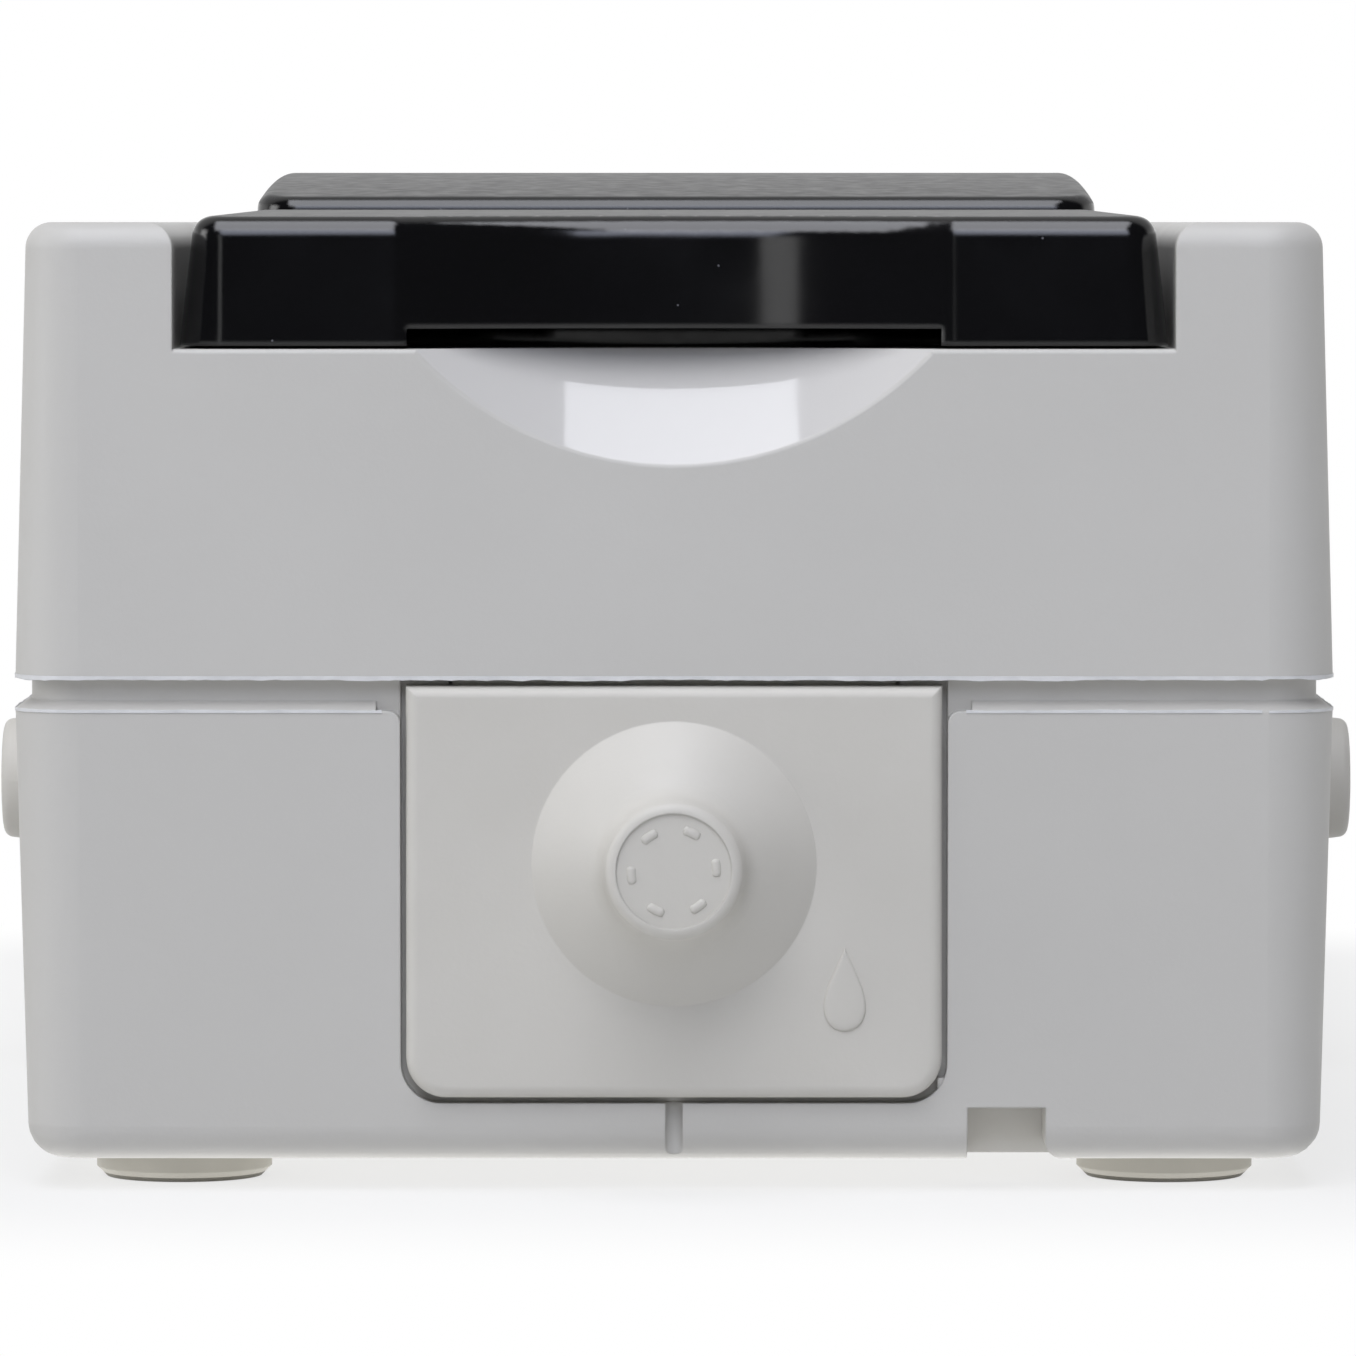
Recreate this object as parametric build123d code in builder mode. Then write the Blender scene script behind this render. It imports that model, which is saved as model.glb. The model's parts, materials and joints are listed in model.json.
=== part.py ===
from build123d import *
import os
from math import acos, atan2, cos, pi, radians, sin, tan

# Surface-mounted splash-proof combination of a rocker switch and an earthed socket.
# It lies on its back: the wall plane is z = 0, the cable entry and lid end is at -Y.

os.makedirs("parts", exist_ok=True)

# Plug well and its collar
well_radius = 19.7
well_depth = 17.5
well_floor = 3.0
collar_wall = 2.3
collar_rise = 1.0
pin_spacing = 19.0
pin_hole_radius = 2.75
guide_rib_width = 4.6
guide_rib_height = 2.2

# Lid
lid_wall = 1.8
lid_side_room = 0.9
lid_gap = 0.25
lid_setback = 0.8
lid_front_room = 10.5
lid_lift = 0.15
lid_draft = 6.5
lid_slope = 0.38
lid_edge_radius = 1.05
lid_corner_radius = 2.2
lid_hollow_width = 26.6
lid_hollow_depth = 2.4
lid_lip_rise = 0.85

# Lid hinge
hinge_drop = 4.2
lid_crown = 0.7
hinge_room = 6.1
hinge_pin_radius = 1.0
hinge_clearance = 0.1
pin_chamfer = 0.2
lug_radius = 2.6
lug_width = 3.0
lug_from_side = 6.4
lug_stem = 1.6
trough_drop = 3.05
trough_ahead = 4.3
lid_rear_gap = 0.8
spring_wire = 0.7
spring_turns = 3
spring_pitch = 0.9
spring_gap = 0.08

# Lid seal
seal_width = 2.0
seal_height = 2.15
seal_gap = 0.2
seal_round = 0.5

# Rocker
rocker_length = 56.8
rocker_rise = 2.95
rocker_crown = 0.95
rocker_skirt = 6.2
rocker_wall = 1.8
rocker_side_gap = 0.45
rocker_end_gap = 1.2
rocker_draft = 3.0
rocker_edge_radius = 0.8
rocker_corner_radius = 2.4
rocker_tilt = 1.2

# Housing
side_wall = 8.05
end_wall = 8.4
bridge_width = 5.1
wall = 2.4
wall_draft = 1.55
corner_radius = 3.4
inner_corner_radius = 2.0
pad_height = 1.5
base_height = 22.55
base_floor = 2.2
base_edge_radius = 1.8
shadow_gap = 1.65
lip_inset = 0.83
shoulder_slope = 59
cover_height = 22.65
recess_depth = 6.3
deck_wall = 2.0
cover_edge_radius = 1.3
deck_edge_radius = 0.25
tongue_height = 2.5
tongue_wall = 1.2
tongue_gap = 0.3

# Finger scoop in the front of the cover
scoop_radius = 17.7
scoop_depth = 6.12
scoop_slope = 47
scoop_wall = 2.0

# Soft cable entries
plate_width = 26.7
plate_height = 20.55
plate_drop = 0.4
plate_proud = 0.25
plate_corner = 2.0
plate_edge_radius = 0.6
plate_side_gap = 0.28
plate_under_gap = 0.32
pocket_depth = 1.4
shoulder_radius = 0.6
neck_inset = 2.3
neck_gap = 0.2
flange_inset = 0.6
flange_thickness = 1.2
flange_gap = 0.15
cone_radius = 7.1
cone_height = 3.0
nose_root_radius = 3.65
nose_tip_radius = 3.35
nose_length = 2.33
nose_blend = 2.0
nose_edge_radius = 0.5
nose_recess_radius = 2.85
nose_recess = 0.12
membrane_wall = 0.8
cone_below_top = 8.85

# Wall pads and their holes
pad_radius = 4.45
pad_neck_radius = 3.15
pad_flange = 1.2
pad_flange_radius = 4.0
pad_gap = 0.1
pad_hole_radius = 2.1
pad_edge_radius = 0.5
pad_from_side = 8.1
pad_from_end = 9.0

# Tool notch and centre marks in the lower edge
notch_x = 16.6
notch_width = 3.9
notch_height = 2.7
notch_depth = 4.6
notch_wall = 1.5
notch_lead = 1.0
mark_width = 0.85
mark_depth = 0.8
mark_length = 2.7

# Screws and posts
cover_screw_x = 16.0
cover_screw_from_end = 8.5
cover_screw_from_well = 4.3
post_radius = 3.6
boss_radius = 4.6
screw_radius = 1.5
screw_head_radius = 3.0
screw_head_height = 2.0
screw_bite = 11.0
screw_clearance = 0.35
thread_gap = 0.1
head_clearance = 0.4
screw_slot = 0.9
insert_screw_from_side = 7.5
ear_thickness = 2.5
ear_radius = 3.4

# Contact carrier of the socket
carrier_side = 19.0
carrier_corner = 2.0
carrier_gap = 0.05
carrier_height = 16.0
chamber_side = 4.0
chamber_end = 4.6
chamber_floor = 1.6
ledge_length = 9.6
ledge_side = 15.0
strip = 0.8
strip_width = 3.6
contact_width = 7.0
contact_mouth = 2.2
contact_gap = 0.5
contact_flare = 2.4
earth_width = 8.0
earth_inset = 2.5
earth_height = 13.0
earth_clear = 0.3
earth_flare = 3.2

# Clamp terminals
block_width = 7.0
block_length = 8.0
block_height = 8.5
block_floor = 1.4
block_corner = 0.8
block_window = 4.6
block_window_height = 4.4
clamp_radius = 1.75
clamp_head_radius = 2.7
clamp_head_height = 1.8
clamp_room = 1.8

# Switch mechanism
switch_side_room = 2.5
switch_end_room = 1.2
switch_wall = 2.5
switch_floor = 3.0
switch_corner = 2.4
switch_inner_corner = 1.2
switch_seal_height = 1.6
aperture_inset = 1.0
pivot_drop = 4.0
trunnion_radius = 2.0
trunnion_clearance = 0.1
trunnion_end_gap = 0.6
lever_side = 14.0
lever_end = 12.0
lever_plate = 2.5
lever_rise = 2.2
lever_arm = 2.5
lever_arm_width = 6.0
hub_half = 4.0
hub_length = 10.0
plunger_radius = 2.0
plunger_gap = 0.1
plunger_length = 9.0
plunger_drop = 13.0
plunger_nose = 1.8
plunger_spring_wire = 0.6
plunger_spring_turns = 4
leg_x = 9.0
leg_width = 7.0
leg_thickness = 2.0
leg_clearance = 0.15
bridge_half = 12.0
bridge_thickness = 1.0
bridge_strip = 6.0
bridge_corner = 1.5
bridge_tilt = 4.5
bridge_gap = 0.15
bridge_roll = 0.9
button_radius = 1.8
button_height = 0.8
button_reach = 10.2
terminal_x = 9.0
switch_ear_drop = 20.0

# Places worked out from the sizes above
collar_radius = well_radius + collar_wall
lid_width = 2 * (collar_radius + lid_side_room + lid_wall)
recess_width = lid_width + 2 * lid_gap
body_width = recess_width + 2 * side_wall
hinge_reach = hinge_drop + lid_crown
lid_length = lid_front_room + 2 * collar_radius + hinge_room + hinge_reach
rocker_well = rocker_length + 2 * rocker_end_gap
body_length = lid_setback + lid_length + lid_rear_gap + bridge_width + rocker_well + end_wall
half_width = body_width / 2
half_length = body_length / 2
slant = tan(radians(wall_draft))
scoop_path = (0, cos(radians(scoop_slope)), sin(radians(scoop_slope)))

base_z = pad_height
floor_z = base_z + base_floor
rim_z = base_z + base_height
parting_z = rim_z + shadow_gap
top_z = parting_z + cover_height
deck_z = top_z - recess_depth
under_deck_z = deck_z - deck_wall
trough_z = deck_z - trough_drop
cavity_width = body_width - 2 * wall
cavity_length = body_length - 2 * wall
tongue_inset = tongue_gap + tongue_height * slant

lid_front = -half_length + lid_setback
lid_z = deck_z + lid_lift
lid_back = lid_front + lid_length
hinge_y = lid_back - hinge_reach
hinge_z = top_z - hinge_drop
socket_y = lid_front + lid_front_room + collar_radius
collar_z = deck_z + collar_rise
well_z = collar_z - well_depth
insert_z = well_z - well_floor
recess_back = lid_back + lid_rear_gap
trough_front = hinge_y - trough_ahead
rocker_front = recess_back + bridge_width
rocker_back = rocker_front + rocker_well
rocker_y = (rocker_front + rocker_back) / 2

plate_top = parting_z - plate_drop
plate_bottom = plate_top - plate_height
cone_z = plate_top - cone_below_top
flange_w = wall + (parting_z - plate_bottom) * slant + flange_gap

pad_x = half_width - pad_from_side
pad_y = half_length - pad_from_end
front_screw_y = -half_length + cover_screw_from_end
back_screw_y = rocker_back - cover_screw_from_well
cover_screw_places = [
    (x, y) for x in (-cover_screw_x, cover_screw_x) for y in (front_screw_y, back_screw_y)
]
insert_screw_x = half_width - insert_screw_from_side
earth_reach = well_radius - earth_inset
carrier_end = earth_reach - strip - earth_clear
switch_side = insert_screw_x - screw_head_radius - switch_side_room
switch_end = rocker_well / 2 - cover_screw_from_well - boss_radius - switch_end_room

seal_z = collar_z + seal_gap
seal_seat_z = seal_z + seal_height
seal_middle = well_radius + collar_wall / 2

switch_top = under_deck_z - switch_seal_height
pivot_z = switch_top - pivot_drop
bridge_z = pivot_z - plunger_drop - bridge_gap - bridge_thickness / 2
button_low = (button_reach + button_radius) * sin(radians(bridge_tilt)) + (
    bridge_thickness / 2 + button_height
) * cos(radians(bridge_tilt))
fixed_button_z = bridge_z - button_low - bridge_gap
switch_floor_z = fixed_button_z - button_height - strip
switch_z = switch_floor_z - switch_floor
switch_ledge_z = switch_floor_z - block_floor
switch_ear_z = switch_top - switch_ear_drop

entry_planes = {
    "lower_membrane": Plane((0, -half_length, 0), x_dir=(1, 0, 0), z_dir=(0, -1, 0)),
    "upper_membrane": Plane((0, half_length, 0), x_dir=(-1, 0, 0), z_dir=(0, 1, 0)),
    "left_membrane": Plane((-half_width, 0, 0), x_dir=(0, -1, 0), z_dir=(-1, 0, 0)),
    "right_membrane": Plane((half_width, 0, 0), x_dir=(0, 1, 0), z_dir=(1, 0, 0)),
}


def save(builder, name):
    builder.part.label = name
    export_step(builder.part, f"parts/{name}.step")


def tilted_plane(y, z, degrees):
    turn = radians(degrees)
    return Plane((0, y, z), x_dir=(1, 0, 0), z_dir=(0, -sin(turn), cos(turn)))


def u_outline(width, bottom, top, corner):
    """Upright outline with square upper and rounded lower corners."""
    with BuildSketch(Plane.XY) as outline:
        with BuildLine():
            FilletPolyline(
                (-width / 2, top),
                (-width / 2, bottom),
                (width / 2, bottom),
                (width / 2, top),
                radius=corner,
            )
            Line((width / 2, top), (-width / 2, top))
        make_face()
    return outline.sketch_local


def tongue_ring(outer_inset):
    """Ring along the inner wall of the cover, open at the cable entries."""
    inner_inset = tongue_inset + tongue_wall
    with BuildSketch(Plane.XY) as ring:
        RectangleRounded(cavity_width - 2 * outer_inset, cavity_length - 2 * outer_inset, inner_corner_radius)
        RectangleRounded(
            cavity_width - 2 * inner_inset,
            cavity_length - 2 * inner_inset,
            inner_corner_radius,
            mode=Mode.SUBTRACT,
        )
        Rectangle(plate_width + 2 * tongue_wall, body_length, mode=Mode.SUBTRACT)
        Rectangle(body_width, plate_width + 2 * tongue_wall, mode=Mode.SUBTRACT)
    return ring.sketch_local


def screw_group(places, head_z, reach):
    """Pan-head screws with a drive slot, head seat at head_z."""
    with BuildPart() as screws:
        with Locations(*[(x, y, head_z) for x, y in places]):
            Cylinder(screw_head_radius, screw_head_height, align=(Align.CENTER, Align.CENTER, Align.MIN))
            Cylinder(screw_radius, reach, align=(Align.CENTER, Align.CENTER, Align.MAX))
        with Locations(*[(x, y, head_z + screw_head_height) for x, y in places]):
            Box(2 * screw_head_radius, screw_slot, screw_slot * 2, mode=Mode.SUBTRACT)
    return screws


def clamp_block(x, y, z):
    """Brass clamp: a block with a wire window along Y and a screw hole from above."""
    with BuildPart() as block:
        with Locations((x, y, z)):
            Box(block_width, block_length, block_height, align=(Align.CENTER, Align.CENTER, Align.MIN))
        fillet(block.edges().filter_by(Axis.Z), block_corner)
        with Locations((x, y, z + block_floor)):
            Box(
                block_window,
                block_length,
                block_window_height,
                align=(Align.CENTER, Align.CENTER, Align.MIN),
                mode=Mode.SUBTRACT,
            )
        with Locations((x, y, z + block_height)):
            Hole(clamp_radius + thread_gap, block_height - block_floor - block_window_height / 2)
    return block


def clamp_screws(places, z):
    """Clamp screws that stop clear above the strip in the wire window."""
    tip_z = z + block_floor + strip + clamp_room
    head_z = z + block_height + clamp_head_height / 2
    with BuildPart() as screws:
        with Locations(*[(x, y, tip_z) for x, y in places]):
            Cylinder(clamp_radius, head_z - tip_z, align=(Align.CENTER, Align.CENTER, Align.MIN))
        with Locations(*[(x, y, head_z) for x, y in places]):
            Cylinder(clamp_head_radius, clamp_head_height, align=(Align.CENTER, Align.CENTER, Align.MIN))
        with Locations(*[(x, y, head_z + clamp_head_height) for x, y in places]):
            Box(2 * clamp_head_radius, screw_slot, screw_slot * 2, mode=Mode.SUBTRACT)
    return screws


# Outlines of the soft entries and of the slots that they hang in
plate_outline = u_outline(plate_width, plate_bottom, plate_top, plate_corner)
neck_outline = u_outline(plate_width - 2 * neck_inset, plate_bottom + neck_inset, parting_z, plate_corner)
flange_width = plate_width - 2 * flange_inset
flange_outline = u_outline(flange_width, plate_bottom + flange_inset, parting_z, plate_corner)
slot_inset = neck_inset - neck_gap
slot_outline = u_outline(plate_width - 2 * slot_inset, plate_bottom + slot_inset, top_z, plate_corner)

# Base box: drafted tub with a set-back lip, slots for the cable entries and screw posts
with BuildPart() as base_box:
    with BuildSketch(Plane.XY.offset(rim_z)):
        RectangleRounded(body_width, body_length, corner_radius)
    extrude(amount=-base_height, taper=wall_draft)
    fillet(base_box.edges().group_by(Axis.Z)[0], base_edge_radius)
    with BuildSketch(Plane.XY.offset(rim_z)):
        RectangleRounded(body_width, body_length, corner_radius)
    extrude(amount=lip_inset / tan(radians(shoulder_slope)), taper=shoulder_slope)
    with BuildSketch(Plane.XY.offset(rim_z)):
        RectangleRounded(body_width - 2 * lip_inset, body_length - 2 * lip_inset, corner_radius - lip_inset)
    extrude(amount=shadow_gap)
    with BuildSketch(Plane.XY.offset(parting_z)):
        RectangleRounded(cavity_width, cavity_length, inner_corner_radius)
    extrude(amount=floor_z - parting_z, taper=wall_draft, mode=Mode.SUBTRACT)

    # Posts for the cover, the socket and the switch
    with Locations(*[(x, y, floor_z) for x, y in cover_screw_places]):
        Cylinder(post_radius, parting_z - floor_z, align=(Align.CENTER, Align.CENTER, Align.MIN))
    with Locations((-insert_screw_x, socket_y, floor_z), (insert_screw_x, socket_y, floor_z)):
        Cylinder(post_radius, insert_z - floor_z, align=(Align.CENTER, Align.CENTER, Align.MIN))
    with Locations((-insert_screw_x, rocker_y, floor_z), (insert_screw_x, rocker_y, floor_z)):
        Cylinder(post_radius, switch_ear_z - floor_z, align=(Align.CENTER, Align.CENTER, Align.MIN))
    with Locations(*[(x, y, parting_z) for x, y in cover_screw_places]):
        Hole(screw_radius + thread_gap, screw_bite)
    with Locations((-insert_screw_x, socket_y, insert_z), (insert_screw_x, socket_y, insert_z)):
        Hole(screw_radius + thread_gap, screw_bite)
    with Locations((-insert_screw_x, rocker_y, switch_ear_z), (insert_screw_x, rocker_y, switch_ear_z)):
        Hole(screw_radius + thread_gap, screw_bite)

    # Wall-fixing holes that hold the soft pads
    with Locations((0, 0, floor_z)):
        with GridLocations(2 * pad_x, 2 * pad_y, 2, 2):
            Hole(pad_neck_radius + pad_gap, 2 * base_floor)

    # Pocket and slot for the soft entry on each side, open at the rim
    pocket_half = plate_width / 2 + plate_side_gap
    shoulder_half = pocket_half + 2 * shoulder_radius
    pocket_low = plate_bottom - plate_under_gap
    pocket_outline = u_outline(2 * pocket_half, pocket_low, top_z, plate_corner)
    for plane in entry_planes.values():
        with BuildSketch(plane):
            add(pocket_outline)
        extrude(amount=-pocket_depth, mode=Mode.SUBTRACT)
        with BuildSketch(plane):
            with BuildLine():
                FilletPolyline(
                    (-shoulder_half, rim_z),
                    (-pocket_half, rim_z),
                    (-pocket_half, pocket_low),
                    (pocket_half, pocket_low),
                    (pocket_half, rim_z),
                    (shoulder_half, rim_z),
                    radius=[shoulder_radius, plate_corner, plate_corner, shoulder_radius],
                )
                Polyline(
                    (shoulder_half, rim_z),
                    (shoulder_half, top_z),
                    (-shoulder_half, top_z),
                    (-shoulder_half, rim_z),
                )
            make_face()
        extrude(amount=-lip_inset, mode=Mode.SUBTRACT)
        with BuildSketch(plane):
            add(slot_outline)
        extrude(amount=-flange_w - wall, mode=Mode.SUBTRACT)

    # Tool notch in the lower edge, closed inside by a hood
    notch_end = -half_length + base_height * slant + notch_depth
    with Locations((notch_x, notch_end + notch_wall, floor_z)):
        Box(
            notch_width + 2 * notch_wall,
            notch_depth + notch_wall,
            notch_height + notch_wall - base_floor,
            align=(Align.CENTER, Align.MAX, Align.MIN),
        )
    with BuildSketch(Plane.XZ.offset(-notch_end)):
        with BuildLine():
            Polyline(
                (notch_x - notch_width / 2, base_z),
                (notch_x - notch_width / 2, base_z + notch_height),
                (notch_x + notch_width / 2, base_z + notch_height),
                (notch_x + notch_width / 2, base_z + notch_lead),
            )
            RadiusArc(
                (notch_x + notch_width / 2, base_z + notch_lead),
                (notch_x + notch_width / 2 + notch_lead, base_z),
                -notch_lead,
            )
            Line((notch_x + notch_width / 2 + notch_lead, base_z), (notch_x - notch_width / 2, base_z))
        make_face()
    extrude(amount=notch_depth + wall, mode=Mode.SUBTRACT)

    # Centre mark below each entry, a short groove that runs out in the rounded lower edge
    mark_in = (rim_z - pocket_low + mark_length / 2) * slant
    with BuildSketch(Plane.XY.offset(pocket_low)):
        with Locations((0, mark_in - half_length), (0, half_length - mark_in)):
            SlotOverall(2 * mark_depth, mark_width, rotation=90)
        with Locations((mark_in - half_width, 0), (half_width - mark_in, 0)):
            SlotOverall(2 * mark_depth, mark_width)
    extrude(amount=-mark_length, mode=Mode.SUBTRACT)
save(base_box, "base_box")

# Space inside the cover, with the walls of the recess, trough, well and scoop left standing
with BuildPart() as cover_hollow:
    with BuildSketch(Plane.XY.offset(parting_z)):
        RectangleRounded(cavity_width, cavity_length, inner_corner_radius)
    extrude(amount=cover_height - deck_wall, taper=wall_draft)
    with Locations((0, rocker_back + deck_wall, under_deck_z)):
        Box(
            recess_width + 2 * deck_wall,
            body_length,
            cover_height,
            align=(Align.CENTER, Align.MAX, Align.MIN),
            mode=Mode.SUBTRACT,
        )
    with Locations((0, recess_back + deck_wall, trough_z - deck_wall)):
        Box(
            recess_width + 2 * deck_wall,
            recess_back - trough_front + 2 * deck_wall,
            cover_height,
            align=(Align.CENTER, Align.MAX, Align.MIN),
            mode=Mode.SUBTRACT,
        )
    with BuildSketch(Plane.XZ.offset(half_length)):
        with Locations((0, deck_z - scoop_depth + scoop_radius)):
            Circle(scoop_radius + scoop_wall)
    extrude(amount=4 * scoop_depth, dir=scoop_path, mode=Mode.SUBTRACT)

# Cover: drafted shell with an open lid recess, a hinge trough and the rocker well
with BuildPart() as cover:
    with BuildSketch(Plane.XY.offset(parting_z)):
        RectangleRounded(body_width, body_length, corner_radius)
    extrude(amount=cover_height, taper=wall_draft)
    with Locations((0, recess_back, deck_z)):
        Box(
            recess_width,
            recess_back + half_length,
            cover_height,
            align=(Align.CENTER, Align.MAX, Align.MIN),
            mode=Mode.SUBTRACT,
        )
    with BuildSketch(Plane.XY.offset(deck_z)):
        with Locations((0, rocker_y)):
            RectangleRounded(recess_width, rocker_well, rocker_corner_radius)
    extrude(amount=cover_height, mode=Mode.SUBTRACT)
    fillet(cover.edges().group_by(Axis.Z)[-1], cover_edge_radius)
    with Locations((0, recess_back, trough_z)):
        Box(
            recess_width,
            recess_back - trough_front,
            cover_height,
            align=(Align.CENTER, Align.MAX, Align.MIN),
            mode=Mode.SUBTRACT,
        )
    add(cover_hollow.part, mode=Mode.SUBTRACT)

    # Polished finger scoop, an oblique round cut that runs up under the lid
    with BuildSketch(Plane.XZ.offset(half_length)):
        with Locations((0, deck_z - scoop_depth + scoop_radius)):
            Circle(scoop_radius)
    extrude(amount=4 * scoop_depth, dir=scoop_path, mode=Mode.SUBTRACT)
    front_face = cover.faces().filter_by(GeomType.PLANE).sort_by(Axis.Y)[0]
    front_rim = front_face.edges().filter_by_position(Axis.X, -collar_radius, collar_radius)
    fillet(front_rim.filter_by_position(Axis.Z, deck_z - scoop_depth, deck_z + deck_wall), deck_edge_radius)

    # Openings in the decks for the socket collar and the switch lever
    with BuildSketch(Plane.XY.offset(deck_z)):
        with Locations((0, socket_y)):
            Circle(collar_radius + head_clearance)
        with Locations((0, rocker_y)):
            RectangleRounded(
                2 * (switch_side - switch_wall - aperture_inset),
                2 * (switch_end - switch_wall - aperture_inset),
                rocker_corner_radius,
            )
    extrude(amount=trough_z - deck_z - 2 * deck_wall, mode=Mode.SUBTRACT)

    # Screw bosses down to the parting plane
    with Locations(*[(x, y, parting_z) for x, y in cover_screw_places]):
        Cylinder(boss_radius, under_deck_z - parting_z, align=(Align.CENTER, Align.CENTER, Align.MIN))
    with Locations(*[(x, y, deck_z) for x, y in cover_screw_places]):
        CounterBoreHole(
            screw_radius + screw_clearance,
            screw_head_radius + head_clearance,
            screw_head_height + screw_clearance,
            deck_z - parting_z + wall,
        )

    # Locating tongue inside the base rim, open at the cable entries
    with BuildSketch(Plane.XY.offset(parting_z)):
        add(tongue_ring(tongue_inset))
    extrude(amount=-tongue_height)
    with BuildSketch(Plane.XY.offset(parting_z)):
        add(tongue_ring(-wall / 2))
    extrude(amount=tongue_wall)

    # Hinge lugs in the trough, with stems clear of the swinging lid
    for x in (lug_from_side - recess_width / 2, recess_width / 2 - lug_from_side):
        with BuildSketch(Plane.YZ.offset(x - lug_width / 2)):
            with Locations((hinge_y, hinge_z)):
                Circle(lug_radius)
            with Locations((hinge_y - lug_radius, trough_z - deck_wall / 2)):
                Rectangle(
                    lug_stem,
                    hinge_z - trough_z + deck_wall / 2,
                    align=(Align.MIN, Align.MIN),
                )
            with Locations((hinge_y, hinge_z)):
                Circle(hinge_pin_radius, mode=Mode.SUBTRACT)
        extrude(amount=lug_width)
save(cover, "cover")

# Soft cable entries: plate outside, neck in the slot, flange inside, hollow cone and nose
for name, plane in entry_planes.items():
    middle = plane.from_local_coords((0, cone_z, 0))
    outward = Axis(middle, plane.z_dir)
    cone_top = plate_proud + cone_height
    nose_top = cone_top + nose_length
    with BuildPart() as membrane:
        with BuildSketch(plane.offset(-pocket_depth)):
            add(plate_outline)
        extrude(amount=pocket_depth + plate_proud)
        fillet(membrane.faces().sort_by(outward)[-1].edges(), plate_edge_radius)
        with BuildSketch(plane.offset(-pocket_depth)):
            add(neck_outline)
        extrude(amount=pocket_depth - flange_w)
        with BuildSketch(plane.offset(-flange_w)):
            add(flange_outline)
        extrude(amount=-flange_thickness)
        with BuildSketch(Plane(middle, x_dir=plane.x_dir, z_dir=(0, 0, -1))):
            with BuildLine():
                FilletPolyline(
                    (cone_radius, plate_proud),
                    (nose_root_radius, cone_top),
                    (nose_tip_radius, nose_top),
                    (nose_recess_radius, nose_top),
                    radius=[nose_blend, nose_edge_radius],
                )
                Polyline(
                    (nose_recess_radius, nose_top),
                    (nose_recess_radius, nose_top - nose_recess),
                    (0, nose_top - nose_recess),
                    (0, -pocket_depth),
                    (cone_radius, -pocket_depth),
                    (cone_radius, plate_proud),
                )
            make_face()
        revolve(axis=outward)
        with BuildSketch(Plane(middle, x_dir=plane.x_dir, z_dir=(0, 0, -1))):
            with BuildLine():
                Polyline(
                    (0, -flange_w - 2 * flange_thickness),
                    (cone_radius - membrane_wall, -flange_w - 2 * flange_thickness),
                    (cone_radius - membrane_wall, plate_proud - membrane_wall),
                    (nose_root_radius - membrane_wall, cone_top - membrane_wall),
                    (nose_tip_radius - membrane_wall, nose_top - nose_recess - membrane_wall),
                    (0, nose_top - nose_recess - membrane_wall),
                    close=True,
                )
            make_face()
        revolve(axis=outward, mode=Mode.SUBTRACT)
    save(membrane, name)

# Soft wall pads, buttoned through the floor, with a hole for the wall screw
pad_places = [(x, y) for y in (-pad_y, pad_y) for x in (-pad_x, pad_x)]
for number, (x, y) in enumerate(pad_places, start=1):
    with BuildPart() as wall_pad:
        with BuildSketch(Plane((x, y, 0), x_dir=(1, 0, 0), z_dir=(0, -1, 0))):
            with BuildLine():
                Polyline(
                    (pad_hole_radius, 0),
                    (pad_radius - pad_edge_radius, 0),
                    (pad_radius, pad_edge_radius),
                    (pad_radius, base_z),
                    (pad_neck_radius, base_z),
                    (pad_neck_radius, floor_z),
                    (pad_flange_radius, floor_z),
                    (pad_flange_radius, floor_z + pad_flange),
                    (pad_hole_radius, floor_z + pad_flange),
                    close=True,
                )
            make_face()
        revolve(axis=Axis((x, y, 0), (0, 0, 1)))
    save(wall_pad, f"wall_pad_{number}")

# Cover screws, sunk in the decks
cover_head_z = deck_z - screw_head_height - screw_clearance
cover_screws = screw_group(cover_screw_places, cover_head_z, cover_head_z - parting_z + screw_bite - wall)
save(cover_screws, "cover_screws")

# Socket insert: round plug well with collar, guide ribs and two screw ears
with BuildPart() as socket_insert:
    with Locations((0, socket_y, insert_z)):
        Cylinder(collar_radius, collar_z - insert_z, align=(Align.CENTER, Align.CENTER, Align.MIN))
    with BuildSketch(Plane.XY.offset(insert_z)):
        with Locations((-insert_screw_x, socket_y), (insert_screw_x, socket_y)):
            Circle(ear_radius)
        with Locations((0, socket_y)):
            Rectangle(2 * insert_screw_x, 2 * ear_radius)
    extrude(amount=ear_thickness)
    with Locations((0, socket_y, well_z)):
        Cylinder(
            well_radius,
            2 * well_depth,
            align=(Align.CENTER, Align.CENTER, Align.MIN),
            mode=Mode.SUBTRACT,
        )
    # Guide ribs at the sides of the well
    with BuildSketch(Plane.XY.offset(well_z)):
        with Locations((0, socket_y)):
            Rectangle(2 * (well_radius + collar_wall / 2), guide_rib_width)
            Rectangle(2 * (well_radius - guide_rib_height), guide_rib_width, mode=Mode.SUBTRACT)
    extrude(amount=well_depth - guide_rib_height)
    # Pin holes, slots for the earth clips and screw holes
    with Locations((-pin_spacing / 2, socket_y, well_z), (pin_spacing / 2, socket_y, well_z)):
        Hole(pin_hole_radius, 2 * well_floor)
    with Locations((0, socket_y - earth_reach, well_z), (0, socket_y + earth_reach, well_z)):
        Box(
            earth_width + 2 * earth_clear,
            2 * (strip + earth_clear),
            4 * well_floor,
            mode=Mode.SUBTRACT,
        )
    with Locations((0, socket_y, insert_z)):
        Box(
            earth_width + 2 * earth_clear,
            2 * earth_reach,
            2 * (strip + earth_clear),
            mode=Mode.SUBTRACT,
        )
    with Locations((-insert_screw_x, socket_y, well_z), (insert_screw_x, socket_y, well_z)):
        Hole(screw_radius + screw_clearance, 2 * well_floor)
save(socket_insert, "socket_insert")

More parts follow.
